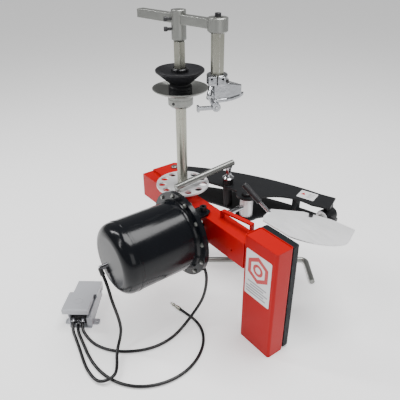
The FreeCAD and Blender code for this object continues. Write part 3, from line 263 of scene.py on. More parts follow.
MATERIAL_MAKERS = {
    "red_paint": red_paint, "gloss_black": gloss_black, "satin_black": satin_black, "zinc": zinc,
    "silver_plate": silver_plate, "chrome": chrome, "cast_chrome": cast_chrome,
    "passivated": passivated, "dark_steel": dark_steel, "black_plastic": black_plastic,
    "cone_rubber": cone_rubber, "pad_rubber": pad_rubber, "hose_rubber": hose_rubber,
    "pedal_alloy": pedal_alloy, "label_white": label_white, "label_red": label_red,
    "label_grey": label_grey,
}
MATERIALS = {name: make() for name, make in MATERIAL_MAKERS.items()}

# ---------------------------------------------------------------- making pieces


def body_of_node(node):
    for body, members in frame["record"]["behaviour"]["bodies"].items():
        if node in members:
            return body
    raise ValueError("no body holds " + node)


def to_object(name, form, material, body, sharp=35.0):
    """Turns a bmesh into a smooth-shaded object that rides on a body."""
    mesh = bpy.data.meshes.new(name)
    bmesh.ops.recalc_face_normals(form, faces=form.faces)
    form.to_mesh(mesh)
    form.free()
    mesh.shade_smooth()
    mesh.set_sharp_from_angle(angle=math.radians(sharp))
    piece = bpy.data.objects.new(name, mesh)
    bpy.context.scene.collection.objects.link(piece)
    mesh.materials.append(MATERIALS[material])
    weighted = piece.modifiers.new("weighted normals", "WEIGHTED_NORMAL")
    weighted.keep_sharp = True
    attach(piece, body)
    return piece


def bevelled(form, width, angle=32.0, segments=2):
    """Rounds a bmesh's sharp edges and marks the new faces in the edge attribute."""
    sharp = [
        edge for edge in form.edges
        if len(edge.link_faces) == 2 and edge.calc_face_angle(0.0) > math.radians(angle)
    ]
    layer = form.loops.layers.float.new("edge")
    if not sharp:
        return
    result = bmesh.ops.bevel(form, geom=sharp, offset=width * MM, segments=segments,
                             profile=0.6, affect="EDGES", clamp_overlap=True)
    for face in result["faces"]:
        for loop in face.loops:
            loop[layer] = 1.0


def copy_of(node):
    """A bmesh with the shape of a CAD node, its flat faces joined."""
    form = bmesh.new()
    form.from_mesh(frame["nodes"][node].data)
    bmesh.ops.remove_doubles(form, verts=form.verts, dist=3e-6)
    bmesh.ops.dissolve_limit(form, angle_limit=math.radians(0.8), verts=form.verts,
                             edges=form.edges)
    return form


def refined(node, width, material, segments=2, angle=32.0):
    """A piece in the shape of a CAD node, with its edges rounded."""
    form = copy_of(node)
    bevelled(form, width, angle, segments)
    piece = to_object(node + "_form", form, material, body_of_node(node))
    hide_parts(node)
    return piece


def blackened(piece, material, behind):
    """Gives the black finish to a piece's faces in front of a distance along Y, in millimetres."""
    piece.data.materials.append(MATERIALS[material])
    for face in piece.data.polygons:
        if face.center.y < behind * MM:
            face.material_index = len(piece.data.materials) - 1


def ring_radius(entry, angle):
    """The radius of a lathe profile's point at an angle: round, or half a hexagon's flats."""
    if len(entry) == 2:
        return entry[0]
    part = (angle + math.pi / 6) % (math.pi / 3) - math.pi / 6
    return entry[0] / math.cos(part)


def lathe(profile, centre=(0, 0, 0), axis=(0, 0, 1), segments=96, form=None, turn=0.0):
    """Adds a turned body to a bmesh, from (radius, distance) points in millimetres.

    A third value in a point makes that ring a hexagon. A profile that does not start and end on
    the axis is closed on itself.
    """
    form = form or bmesh.new()
    tilt = UP.rotation_difference(Vector(axis).normalized())
    rings = []
    for entry in profile:
        count = 1 if entry[0] < 0.01 else segments
        ring = []
        for index in range(count):
            angle = 2 * math.pi * index / segments
            radius = ring_radius(entry, angle)
            spoke = Vector((math.cos(angle + turn) * radius, math.sin(angle + turn) * radius, entry[1]))
            ring.append(form.verts.new((Vector(centre) + tilt @ spoke) * MM))
        rings.append(ring)
    pairs = list(zip(rings[:-1], rings[1:]))
    if len(rings[0]) > 1:
        pairs.append((rings[-1], rings[0]))
    for first, second in pairs:
        for index in range(segments):
            after = (index + 1) % segments
            if len(first) == 1 and len(second) == 1:
                break
            if len(first) == 1:
                form.faces.new((first[0], second[after], second[index]))
            elif len(second) == 1:
                form.faces.new((first[index], first[after], second[0]))
            else:
                form.faces.new((first[index], first[after], second[after], second[index]))
    return form


def arc(centre_radius, centre_distance, radius, start, end, steps=10):
    """Profile points along an arc, with angles in degrees."""
    points = []
    for index in range(steps + 1):
        angle = math.radians(start + (end - start) * index / steps)
        points.append((centre_radius + radius * math.cos(angle),
                       centre_distance + radius * math.sin(angle)))
    return points


def bead(form, points, radius=2.2):
    """Adds a rippled weld bead along a line of points in millimetres."""
    seed = Vector((random.random(), random.random(), random.random())) * 50
    path = []
    for start, end in zip(points[:-1], points[1:]):
        start, end = Vector(start), Vector(end)
        steps = max(2, int((end - start).length / 1.1))
        path += [start.lerp(end, index / steps) for index in range(steps)]
    path.append(Vector(points[-1]))
    rings = []
    for index, place in enumerate(path):
        ahead = path[min(index + 1, len(path) - 1)] - path[max(index - 1, 0)]
        tilt = UP.rotation_difference(ahead.normalized())
        ripple = 0.82 + 0.18 * abs(math.sin(index * 0.75))
        size = radius * ripple * (1 + 0.12 * noise.noise(place * 0.2 + seed))
        if index in (0, len(path) - 1):
            size *= 0.35
        ring = []
        for spoke in range(10):
            angle = 2 * math.pi * spoke / 10
            offset = tilt @ Vector((math.cos(angle) * size, math.sin(angle) * size, 0))
            ring.append(form.verts.new((place + offset) * MM))
        rings.append(ring)
    for first, second in zip(rings[:-1], rings[1:]):
        for spoke in range(10):
            after = (spoke + 1) % 10
            form.faces.new((first[spoke], first[after], second[after], second[spoke]))
    form.faces.new(rings[0][::-1])
    form.faces.new(rings[-1])


def slab(form, outline, place):
    """Adds a thin plate: outline points (u, v) mapped by place(u, v, depth) for depths 0 and 1."""
    lower = [form.verts.new(place(u, v, 0)) for u, v in outline]
    upper = [form.verts.new(place(u, v, 1)) for u, v in outline]
    form.faces.new(lower[::-1])
    form.faces.new(upper)
    for index in range(len(outline)):
        after = (index + 1) % len(outline)
        form.faces.new((lower[index], lower[after], upper[after], upper[index]))


def ring_slab(form, outer, inner, place):
    """Adds a thin plate with a hole, from two outlines with the same number of points."""
    rings = []
    for outline, depth in ((outer, 0), (outer, 1), (inner, 1), (inner, 0)):
        rings.append([form.verts.new(place(u, v, depth)) for u, v in outline])
    for first, second in zip(rings, rings[1:] + rings[:1]):
        for index in range(len(outer)):
            after = (index + 1) % len(outer)
            form.faces.new((first[index], first[after], second[after], second[index]))


def rounded_outline(low_u, low_v, high_u, high_v, radius, steps=5):
    corners = [
        (high_u - radius, high_v - radius, 0), (low_u + radius, high_v - radius, 90),
        (low_u + radius, low_v + radius, 180), (high_u - radius, low_v + radius, 270),
    ]
    points = []
    for u, v, start in corners:
        for index in range(steps + 1):
            angle = math.radians(start + 90 * index / steps)
            points.append((u + radius * math.cos(angle), v + radius * math.sin(angle)))
    return points


def polygon_outline(u, v, radius, count, turn=0.0):
    points = []
    for index in range(count):
        angle = math.radians(turn + 360 * index / count)
        points.append((u + radius * math.cos(angle), v + radius * math.sin(angle)))
    return points


def detail(name, form, material, node, sharp=35.0):
    """A piece that rides on a CAD node's body without replacing the node."""
    return to_object(name, form, material, body_of_node(node), sharp)


def replacing(node, form, material, sharp=35.0):
    """A piece that stands in for a CAD node."""
    piece = detail(node + "_form", form, material, node, sharp)
    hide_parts(node)
    return piece


def casting(node, voxel, passes, material):
    """A piece in the shape of a CAD node with the soft edges and skin of a casting."""
    work = bpy.data.objects.new(node + "_work", frame["nodes"][node].data.copy())
    bpy.context.scene.collection.objects.link(work)
    voxels = work.modifiers.new("voxels", "REMESH")
    voxels.mode = "VOXEL"
    voxels.voxel_size = voxel * MM
    soften = work.modifiers.new("soften", "SMOOTH")
    soften.factor = 0.5
    soften.iterations = passes
    result = work.evaluated_get(bpy.context.evaluated_depsgraph_get())
    form = bmesh.new()
    form.from_mesh(bpy.data.meshes.new_from_object(result))
    bpy.data.objects.remove(work)
    form.normal_update()
    for vertex in form.verts:
        skin = noise.noise(vertex.co * 220) * 0.22 + noise.noise(vertex.co * 60) * 0.25
        vertex.co += vertex.normal * skin * MM
    return replacing(node, form, material, sharp=75.0)


# node: (edge rounding in mm, material)
REFINED = {
    "main_beam": (3.0, "red_paint"), "support_box": (1.0, "red_paint"),
    "closing_plates": (0.8, "red_paint"), "rubber_pad": (2.0, "pad_rubber"),
    "pivot_brackets": (1.2, "red_paint"), "pivot_bolts": (0.8, "zinc"),
    "carry_handle": (1.0, "red_paint"), "post_bearing": (0.8, "red_paint"),
    "stand_leg": (1.5, "red_paint"), "foot_bar": (0.8, "zinc"),
    "index_disc": (0.6, "silver_plate"), "retaining_nut": (0.8, "zinc"),
    "hex_spindle": (0.8, "passivated"), "tool_sleeve": (0.8, "zinc"),
    "bar_lock_bolt": (0.5, "black_plastic"), "sleeve_lock_bolt": (0.5, "black_plastic"),
    "cross_bar": (1.2, "zinc"), "shaft_collar": (0.8, "zinc"), "hex_shaft": (0.8, "passivated"),
    "head_finger": (0.8, "cast_chrome"), "finger_pin": (0.4, "chrome"),
    "cylinder_head": (0.8, "gloss_black"), "swivel_lugs": (0.8, "gloss_black"),
    "hose_elbows": (0.5, "chrome"), "piston": (0.6, "zinc"), "piston_seal": (0.3, "pad_rubber"),
    "piston_rod": (0.4, "chrome"), "arm_upper_plate": (0.8, "satin_black"),
    "arm_lower_plate": (0.8, "satin_black"), "arm_pivot_bush": (0.4, "zinc"),
    "arm_spacers": (0.6, "satin_black"), "rod_pivot_bolt": (0.8, "satin_black"),
    "blade_sleeve": (0.8, "satin_black"), "blade_lock_screws": (0.6, "black_plastic"),
    "lever_bar": (1.0, "zinc"), "blade_plate": (0.9, "silver_plate"), "blade_stem": (0.8, "zinc"),
    "blade_bolt": (0.4, "dark_steel"), "blade_handle_rod": (0.8, "chrome"),
    "pedal_housing": (0.8, "pedal_alloy"), "pedal_treadle": (1.2, "pedal_alloy"),
    "pedal_pin": (0.4, "zinc"), "pedal_ports": (0.5, "chrome"), "air_plug": (0.4, "passivated"),
}

# ---------------------------------------------------------------- hoses

HOSE_DIAMETER = 11.0
HOSE_LOW = FLOOR + HOSE_DIAMETER / 2 + 1.2
CROSSING = HOSE_LOW + 13.0
PEDAL_CENTRE = Vector((-45.9, -428.3, 0))
PEDAL_YAW = math.radians(-38.5)
PORT_FACE = 82.0
PORT_PLACES = [(-25.0, 30.0), (-8.0, 17.0), (9.0, 30.0)]


def on_pedal(along, across, height):
    """A point given from the pedal's centre, in millimetres."""
    x = PEDAL_CENTRE.x + along * math.cos(PEDAL_YAW) - across * math.sin(PEDAL_YAW)
    y = PEDAL_CENTRE.y + along * math.sin(PEDAL_YAW) + across * math.cos(PEDAL_YAW)
    return (x, y, FLOOR + height)


def into_port(index):
    """The last two points of a hose, in line with one of the pedal's three fittings."""
    across, height = PORT_PLACES[index]
    return [
        on_pedal(PORT_FACE + 26, across, 10 + 0.25 * height),
        on_pedal(PORT_FACE, across, height),
    ]


REAR_ELBOW_END = (117.0, -411.0, BEAM_TOP - 115.0)
FRONT_ELBOW_END = (264.0, -105.0, BEAM_TOP - 134.0)
U_TURN = (266.0, -508.0)
U_TURN_RADIUS = 37.0
U_TURN_STEPS = [
    (54, CROSSING), (27, CROSSING), (0, CROSSING), (-27, CROSSING - 3), (-54, CROSSING - 7),
    (-78, CROSSING - 11),
]


def rear_hose_points():
    x, y, z = REAR_ELBOW_END
    points = [
        (x, y, z), (x + 26, y, z - 26), (172, -414, FLOOR + 200), (190, -408, FLOOR + 148),
        (198, -404, FLOOR + 96), (200, -412, FLOOR + 56), (210, -430, FLOOR + 29),
        (234, -448, CROSSING + 2), (262, -462, CROSSING),
    ]
    for angle, height in U_TURN_STEPS:
        turn = math.radians(angle)
        points.append((U_TURN[0] + U_TURN_RADIUS * math.cos(turn),
                       U_TURN[1] + U_TURN_RADIUS * math.sin(turn), height))
    return points + [
        (246, -549, HOSE_LOW + 1), (204, -548, HOSE_LOW), (160, -540, HOSE_LOW),
        (118, -531, HOSE_LOW + 1), (78, -524, HOSE_LOW + 3), *into_port(0),
    ]


def front_hose_points():
    x, y, z = FRONT_ELBOW_END
    return [
        (x, y, z), (x + 16, y, z - 14.4), (284, -105, FLOOR + 206), (276, -105, FLOOR + 156),
        (262, -106, FLOOR + 108), (248, -116, FLOOR + 66), (244, -144, FLOOR + 32),
        (252, -184, FLOOR + 14), (264, -228, HOSE_LOW), (271, -274, HOSE_LOW),
        (267, -324, HOSE_LOW), (249, -372, HOSE_LOW), (220, -418, HOSE_LOW),
        (182, -454, HOSE_LOW), (140, -477, HOSE_LOW), (98, -487, HOSE_LOW + 2),
        *into_port(2),
    ]


def supply_hose_points():
    return [
        (172, -144, HOSE_LOW + 3), (206, -137, HOSE_LOW + 1), (250, -130, HOSE_LOW),
        (302, -138, HOSE_LOW), (352, -168, HOSE_LOW), (392, -218, HOSE_LOW),
        (416, -278, HOSE_LOW), (420, -338, HOSE_LOW), (406, -398, HOSE_LOW),
        (374, -452, HOSE_LOW), (326, -492, HOSE_LOW), (270, -514, HOSE_LOW),
        (212, -522, HOSE_LOW), (156, -519, HOSE_LOW), (106, -511, HOSE_LOW + 2),
        *into_port(1),
    ]


def mesh_of_curve(piece):
    """The mesh that a curve object makes at this moment."""
    return bpy.data.meshes.new_from_object(piece.evaluated_get(bpy.context.evaluated_depsgraph_get()))


def as_mesh_tube(piece):
    """A curve's tube as a mesh object, and the points of its centre line."""
    curve = piece.data
    name = piece.name
    tube = mesh_of_curve(piece)
    curve.bevel_depth = 0
    bpy.context.view_layer.update()
    line = mesh_of_curve(piece)
    path = [tuple(vertex.co) for vertex in line.vertices]
    bpy.data.objects.remove(piece)
    bpy.data.curves.remove(curve)
    bpy.data.meshes.remove(line)
    for face in tube.polygons:
        face.use_smooth = True
    made = bpy.data.objects.new(name, tube)
    bpy.context.scene.collection.objects.link(made)
    return made, path


def hose(name, node, points, bend=None):
    """A hose on a smooth curve through its route; given bend, the tube is made a mesh fixed in place,
    otherwise the curve rides on the frame.
    """
    curve = bpy.data.curves.new(name, "CURVE")
    curve.dimensions = "3D"
    curve.bevel_depth = HOSE_DIAMETER / 2 * MM
    curve.bevel_resolution = 7
    curve.resolution_u = 10
    curve.use_fill_caps = True
    spline = curve.splines.new("NURBS")
    spline.points.add(len(points) - 1)
    for target, point in zip(spline.points, points):
        target.co = (*mm(*point), 1.0)
    spline.order_u = 3
    spline.use_endpoint_u = True
    piece = bpy.data.objects.new(name, curve)
    bpy.context.scene.collection.objects.link(piece)
    curve.materials.append(MATERIALS["hose_rubber"])
    path = None
    if bend:
        piece, path = as_mesh_tube(piece)
        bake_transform(piece)
    else:
        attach(piece, "frame")
    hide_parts(node)
    return piece


# ---------------------------------------------------------------- turned pieces

CYLINDER = (160.0, 0.0, BEAM_TOP - 46.0)
BARREL_RADIUS = 121.0
BARREL_END = -398.0
FLANGE_RADIUS = 152.0
FLANGE_BOLTS = 12
FLANGE_BOLT_CIRCLE = 139.0
FLANGE_FRONT = -133.0
FLANGE_BACK = -117.0
COLLAR_LOW = BEAM_TOP + 343.0
COLLAR_TOP = COLLAR_LOW + 39.0
CONE_LOW = BEAM_TOP + 417.0
CONE_RIM = BEAM_TOP + 470.0
BAR_HEIGHT = BEAM_TOP + 627.0
BAR_TURN = math.radians(10.5)
BAR_HALF = 14.0
POST_RADIUS = 19.0
POST_BORE = 16.0
COLLAR_RADIUS = 43.0
SAUCER_RADIUS = 95.2
BUSH_RADIUS = 25.0
SHAFT = (162.0 * math.cos(BAR_TURN), 162.0 * math.sin(BAR_TURN))
STUD = (50.0, 181.0)
SPINDLE_BORE = 36.0 / math.sqrt(3) + 1.0


def cylinder_barrel():
    """The drawn barrel: a dished end, a rolled step behind the dish and a flange."""
    radius, wall, dish = BARREL_RADIUS, 3.0, 38.0
    flat = radius - dish
    outer = arc(flat, BARREL_END + dish, dish, -90, 0, 14)
    inner = arc(flat, BARREL_END + dish, dish - wall, 0, -90, 10)
    step = BARREL_END + dish + 9
    profile = [(0, BARREL_END), *outer, (radius, step), (radius + 1.3, step + 1.5),
               (radius + 1.3, step + 8), (radius, step + 9.5), (radius, -146), (radius + 1.5, -138),
               (radius + 5, FLANGE_FRONT), (FLANGE_RADIUS, FLANGE_FRONT),
               (FLANGE_RADIUS, FLANGE_FRONT + 8),
               (radius - wall, FLANGE_FRONT + 8), *inner, (0, BARREL_END + wall)]
    form = lathe(profile, CYLINDER, (0, 1, 0), segments=160)
    bevelled(form, 0.9, angle=40)
    replacing("cylinder_barrel", form, "gloss_black")


def flange_bolts():
    """Twelve hexagon bolts with washers, and their nuts behind the head plate."""
    form = bmesh.new()
    for index in range(FLANGE_BOLTS):
        angle = math.radians(12 + 30 * index)
        x = CYLINDER[0] + FLANGE_BOLT_CIRCLE * math.cos(angle)
        z = CYLINDER[2] + FLANGE_BOLT_CIRCLE * math.sin(angle)
        turn = random.uniform(0, math.pi / 3)
        head = [(0, -6.2), (3.4, -6.2), (5.2, -5.6), (5.9, -4.6, 1), (5.9, -1.3, 1), (7.9, -1.3),
                (7.9, 0), (0, 0)]
        lathe(head, (x, FLANGE_FRONT, z), (0, 1, 0), 48, form, turn)
        nut = [(0, 0), (7.6, 0), (7.6, 1.2), (5.8, 1.2, 1), (5.8, 6.0, 1), (4.6, 6.8), (4.0, 6.8),
               (4.0, 8.0), (3.2, 9.0), (0, 9.0)]
        lathe(nut, (x, FLANGE_BACK, z), (0, 1, 0), 48, form, turn)
    bevelled(form, 0.3, angle=30, segments=1)
    replacing("flange_bolts", form, "zinc")


def clamp_cone():
    """The cone: a straight flank with fine turning steps, a thick rounded rim and a dished top."""
    flank = []
    steps = 12
    for index in range(steps + 1):
        share = index / steps
        radius = 35.5 + (81.5 - 35.5) * share
        height = CONE_LOW + 6 + (CONE_RIM - 8 - CONE_LOW - 6) * share
        flank += [(radius, height), (radius + 0.35, height + 0.5)]
    top = [(82.3, CONE_RIM - 6), (82.3, CONE_RIM - 2.5), (80, CONE_RIM - 0.2), (77, CONE_RIM),
           (73, CONE_RIM - 0.8), (69, CONE_RIM - 2.6), (60, CONE_RIM - 6), (48, CONE_RIM - 8.6),
           (36, CONE_RIM - 9), (SPINDLE_BORE, CONE_RIM - 9)]
    profile = [(SPINDLE_BORE, CONE_LOW), (35, CONE_LOW), *flank, *top]
    form = lathe(profile, segments=144)
    bevelled(form, 0.5, angle=38)
    replacing("clamp_cone", form, "cone_rubber")


def clamp_nut():
    """The round nut in the cone's dish, with six grip flutes."""
    low = CONE_RIM - 8.7
    form = copy_of("clamp_nut")
    bevelled(form, 0.7, angle=30)
    replacing("clamp_nut", form, "dark_steel")
    ring = lathe([(SPINDLE_BORE, low + 11.5), (25, low + 11.5), (24, low + 13.2),
                  (SPINDLE_BORE, low + 13.2)], segments=72)
    bevelled(ring, 0.4)
    detail("clamp_nut_ring", ring, "dark_steel", "clamp_nut")


def wheel_saucer():
    """The dished saucer that the wheel rests on, with a rolled rim."""
    rim = COLLAR_TOP + 25
    profile = [(POST_RADIUS, COLLAR_TOP), (44, COLLAR_TOP), (60, COLLAR_TOP + 5),
               (80, COLLAR_TOP + 14), (93, rim - 4), (SAUCER_RADIUS, rim - 1.5),
               (SAUCER_RADIUS, rim + 0.5), (93, rim + 1.2), (91, rim), (78, COLLAR_TOP + 17.5),
               (58, COLLAR_TOP + 8), (43, COLLAR_TOP + 4), (POST_RADIUS, COLLAR_TOP + 4)]
    form = lathe(profile, segments=144)
    bevelled(form, 0.6, angle=25)
    replacing("wheel_saucer", form, "zinc")


def centring_core():
    """The black core between saucer and cone, with one turned groove."""
    low, high = COLLAR_TOP + 4, CONE_LOW - 0.3
    profile = [(POST_RADIUS, low), (40, low), (40, high - 13), (38.2, high - 12), (38.2, high - 9),
               (40, high - 8), (40, high - 3.5), (37, high), (SPINDLE_BORE, high),
               (SPINDLE_BORE, COLLAR_TOP + 7.8), (POST_RADIUS, COLLAR_TOP + 7.8)]
    form = lathe(profile, segments=120)
    bevelled(form, 0.5, angle=30)
    replacing("centring_core", form, "cone_rubber")


def wheel_collar():
    """The collar under the saucer, with a turned groove and a set screw in its side."""
    radius = COLLAR_RADIUS
    groove = radius - 0.8
    profile = [(POST_RADIUS, COLLAR_LOW), (radius - 8, COLLAR_LOW), (radius, COLLAR_LOW + 8),
               (radius, COLLAR_LOW + 28), (groove, COLLAR_LOW + 28.6), (groove, COLLAR_LOW + 30),
               (radius, COLLAR_LOW + 30.6), (radius, COLLAR_TOP), (POST_RADIUS, COLLAR_TOP)]
    form = lathe(profile, segments=128)
    bevelled(form, 0.7, angle=25)
    replacing("wheel_collar", form, "zinc")
    outward = Vector((0.35, -0.94, 0)).normalized()
    place = outward * (radius - 0.6) + Vector((0, 0, COLLAR_LOW + 18))
    screw = lathe([(0, 1.2), (2.2, 1.2, 1), (2.2, 1.8, 1), (4.6, 1.8), (5.0, 1.3), (5.0, 0), (0, 0)],
                  place, outward, 48)
    detail("collar_set_screw", screw, "dark_steel", "wheel_collar")


def post():
    """The post: a ground tube with a chamfered top and light turning rings."""
    low, high = BEAM_BOTTOM - 24, COLLAR_TOP + 8
    radius = POST_RADIUS
    groove = radius - 0.4
    outside = [(radius - 1.5, low), (radius, low + 1.5), (radius, BEAM_TOP + 22)]
    for height in (40.0, 300.0):
        z = BEAM_TOP + height
        outside += [(radius, z), (groove, z + 0.6), (groove, z + 2.2), (radius, z + 2.8)]
    profile = [(POST_BORE, low), *outside, (radius, high - 1), (radius - 1, high),
               (POST_BORE, high)]
    form = lathe(profile, segments=96)
    bevelled(form, 0.3, angle=25, segments=1)
    replacing("post", form, "passivated")


def lever_stud():
    """The waisted stud that carries the lever."""
    base = BEAM_TOP + 27.0
    top = BEAM_TOP + 78.0
    profile = [(0, base), (23, base), (23, base + 3), (21, base + 4.5), (16, base + 8),
               (12.5, base + 14), (10.6, base + 20), (10, base + 27), (10.4, top - 16),
               (11.6, top - 9), (14.2, top - 4), (15, top - 2), (15, top - 0.6), (14, top), (0, top)]
    form = lathe(profile, (*STUD, 0), segments=96)
    bevelled(form, 0.5, angle=30)
    replacing("lever_stud", form, "chrome")


def socket_screw(form, top, axis, shank, height, turn=0.0):
    """Adds a socket cap screw's head that stands on a point, axis pointing out of the head."""
    outer = shank * 1.58
    socket = shank * 0.72
    profile = [(0, height * 0.45), (socket, height * 0.45, 1), (socket, height - 0.5, 1),
               (socket + 0.9, height), (outer - 0.9, height), (outer, height - 0.9),
               (outer, 0), (0, 0)]
    lathe(profile, top, axis, 60, form, turn)


def arm_screws():
    """The shaft's lid screw with its washer, and the mount head's clamp screw."""
    form = bmesh.new()
    lid = (*SHAFT, BAR_HEIGHT + 21)
    socket_screw(form, lid, (0, 0, 1), 6.0, 12.0, turn=0.3)
    across = math.radians(-37.2)
    outward = Vector((math.cos(across), math.sin(across), 0))
    side = Vector((-outward.y, outward.x, 0))
    ring_low = BEAM_TOP + 454
    place = Vector((*SHAFT, 0)) + outward * 28 + side * 27 + Vector((0, 0, ring_low + 15))
    socket_screw(form, place, side, 4.0, 8.0, turn=0.8)
    lathe([(0, -30), (3.8, -30), (3.8, 0), (0, 0)], place, side, 32, form)
    replacing("arm_screws", form, "dark_steel")
    washer = lathe([(6.2, 0), (14, 0), (14, 1.4), (6.2, 1.4)], lid, (0, 0, 1), 60)
    bevelled(washer, 0.3)
    detail("shaft_lid_washer", washer, "zinc", "shaft_collar")


def rod_end_bush():
    """The bush on the rod's end, with its chamfers and a grease groove."""
    low, high = BEAM_BOTTOM + 10.5, BEAM_TOP - 10.5
    middle = (low + high) / 2 + 22
    radius, bore = BUSH_RADIUS, 10.5
    groove = radius - 0.8
    profile = [(bore, low), (radius - 1.2, low), (radius, low + 1.2), (radius, middle),
               (groove, middle + 0.8), (groove, middle + 2.4), (radius, middle + 3.2),
               (radius, high - 1.2), (radius - 1.2, high), (bore, high)]
    form = lathe(profile, (*ROD_PIVOT, 0), segments=96)
    bevelled(form, 0.3, angle=30, segments=1)
    replacing("rod_end_bush", form, "silver_plate")


def blade_grip():
    """The moulded grip: slightly waisted, with a collar at each end and fine rings."""
    start = Vector((283, 195, BEAM_TOP - 34))
    end = Vector((170, 153, BEAM_TOP + 60))
    along = end - start
    place = start + along * 0.42
    length = along.length * 0.58
    outside = [(10.5, 0), (12, 1.5), (12, 6), (11.2, 7.5)]
    count = 9
    for index in range(count):
        distance = 12 + (length - 26) * index / (count - 1)
        waist = 11.0 + 0.5 * abs(2 * index / (count - 1) - 1)
        outside += [(waist, distance - 1.6), (waist + 0.45, distance), (waist, distance + 1.6)]
    profile = [(6.5, 0), *outside, (11.6, length - 8), (12, length - 6), (11.6, length - 3),
               (9.5, length - 0.8), (7, length), (0, length), (0, length - 4), (6.5, length - 4)]
    form = lathe(profile, place, along, 72)
    replacing("blade_grip", form, "black_plastic", sharp=50)


def turned_pieces():
    for make in (cylinder_barrel, flange_bolts, clamp_cone, clamp_nut, wheel_saucer, centring_core,
                 wheel_collar, post, lever_stud, arm_screws, rod_end_bush, blade_grip):
        make()


# ---------------------------------------------------------------- welds, labels and small parts


def circle_points(centre, radius, start=0, end=360, steps=48):
    points = []
    for index in range(steps + 1):
        angle = math.radians(start + (end - start) * index / steps)
        points.append((centre[0] + radius * math.cos(angle),
                       centre[1] + radius * math.sin(angle), centre[2]))
    return points


def frame_welds():
    """The beads round the box, the bearing, the brackets, the end cap and the handle's feet."""
    form = bmesh.new()
    bead(form, [(BOX_LEFT, BEAM_FRONT + 2, BEAM_TOP), (BOX_LEFT, BEAM_BACK - 2, BEAM_TOP)], 2.8)
    bead(form, [(BOX_LEFT, BEAM_BACK, BEAM_TOP), (BOX_LEFT, BEAM_BACK, BEAM_BOTTOM)], 2.2)
    bead(form, circle_points((0, 0, BEAM_TOP), 27.5), 2.4)
    bead(form, circle_points((0, 0, BEAM_BOTTOM), 27.5), 2.4)
    left, right, front = BEAM_LEFT, BRACKET_RIGHT, BRACKET_FRONT
    bead(form, [(left, front, BEAM_TOP), (right, front, BEAM_TOP)], 3.0)
    bead(form, [(right, front, BEAM_TOP), (right, BEAM_BACK, BEAM_TOP)], 2.6)
    bead(form, [(left, front, BEAM_BOTTOM), (right, front, BEAM_BOTTOM)], 3.0)
    bead(form, [(left, BEAM_FRONT + 2, BEAM_TOP), (left, front - 2.5, BEAM_TOP)], 1.6)
    for x in (HANDLE_LEFT + 6.9, HANDLE_LEFT + 135.5):
        start = 1.5 + (x - HANDLE_LEFT) * math.tan(HANDLE_TURN)
        bead(form, [(x, start, BEAM_TOP), (x - 1.2, start + 16, BEAM_TOP)], 2.2)
    for x in (LEG_X - 21, LEG_X + 21):
        bead(form, [(x, -20, BEAM_BOTTOM), (x, 20, BEAM_BOTTOM)], 2.4)
    detail("frame_welds", form, "red_paint", "main_beam", sharp=70)


def cylinder_welds():
    """The beads on both faces of each swivel lug, where it meets the head plate."""
    form = bmesh.new()
    left, right = CYLINDER[0] - 29, CYLINDER[0] + 29
    for near, far in ((BEAM_TOP + 1, BEAM_TOP + 9), (BEAM_BOTTOM - 1, BEAM_BOTTOM - 9)):
        for z in (near, far):
            bead(form, [(left, FLANGE_BACK, z), (right, FLANGE_BACK, z)], 2.6)
    detail("cylinder_welds", form, "gloss_black", "swivel_lugs", sharp=70)


def arm_welds():
    """The beads round the spacer post, the bush and the blade's sleeve."""
    form = bmesh.new()
    bead(form, circle_points((*STUD, BEAM_TOP - 1), 20.5), 2.4)
    bead(form, circle_points((*ARM_PIVOT, BEAM_TOP - 1), 17.5), 1.6)
    for x in (STEM_LINE - 7, STEM_LINE + 7):
        bead(form, [(x, 366, BEAM_TOP - 9.5), (x, 397, BEAM_TOP - 9.5)], 2.4)
    bead(form, [(262, 322, BEAM_TOP - 9), (284, 322, BEAM_TOP - 9), (284, 344, BEAM_TOP - 9)], 2.4)
    detail("arm_welds", form, "satin_black", "arm_upper_plate", sharp=70)


def slide_welds():
    """The bead between the cross bar and the shaft's collar."""
    form = bmesh.new()
    points = []
    for step in range(-12, 13):
        angle = BAR_TURN + math.pi + math.radians(step * 2.3)
        points.append((SHAFT[0] + 31.4 * math.cos(angle), SHAFT[1] + 31.4 * math.sin(angle),
                       BAR_HEIGHT + BAR_HALF))
    bead(form, points, 2.2)
    bead(form, [(x, y, z - 2 * BAR_HALF) for x, y, z in points], 2.2)
    reach = BAR_HALF - 0.5
    for x, y, _ in (points[0], points[-1]):
        bead(form, [(x, y, BAR_HEIGHT + reach), (x, y, BAR_HEIGHT - reach)], 2.0)
    detail("slide_welds", form, "zinc", "cross_bar", sharp=70)


def on_box_front(u, v, depth, lift=0.0):
    """A point on the box's front face; u to the right and v up from the beam's top."""
    return mm(u, BEAM_FRONT - lift - 0.35 * depth, BEAM_TOP + v)


def box_label():
    """A white sticker with a plain nut pictogram and blank grey lines."""
    form = bmesh.new()
    slab(form, rounded_outline(405, -184, 519, -4, 5), lambda u, v, d: on_box_front(u, v, d))
    detail("box_label", form, "label_white", "support_box")
    form = bmesh.new()

    def raised(u, v, depth):
        return on_box_front(u, v, depth, 0.3)

    centre = (461, -64)
    ring_slab(form, polygon_outline(*centre, 52, 6, 30), polygon_outline(*centre, 36, 6, 30), raised)
    ring_slab(form, polygon_outline(*centre, 22, 36), polygon_outline(*centre, 12, 36), raised)
    detail("box_label_pictogram", form, "label_red", "support_box")
    form = bmesh.new()
    for row, (start, end) in enumerate([(418, 504), (430, 492), (412, 510), (412, 494), (412, 502)]):
        high = -122 - row * 11
        slab(form, rounded_outline(start, high - 5, end, high, 1.5, 3), raised)
    detail("box_label_lines", form, "label_grey", "support_box")


def on_arm_label(u, v, depth, lift=0.0):
    """A point on the upper arm plate, in the label's own slant."""
    origin = Vector((300, 361, 0))
    along = Vector((0.955, 0.30, 0))
    across = Vector((-0.34, 0.94, 0))
    place = origin + along * u + across * v
    return mm(place.x, place.y, BEAM_TOP - 1 + lift + 0.3 * depth)


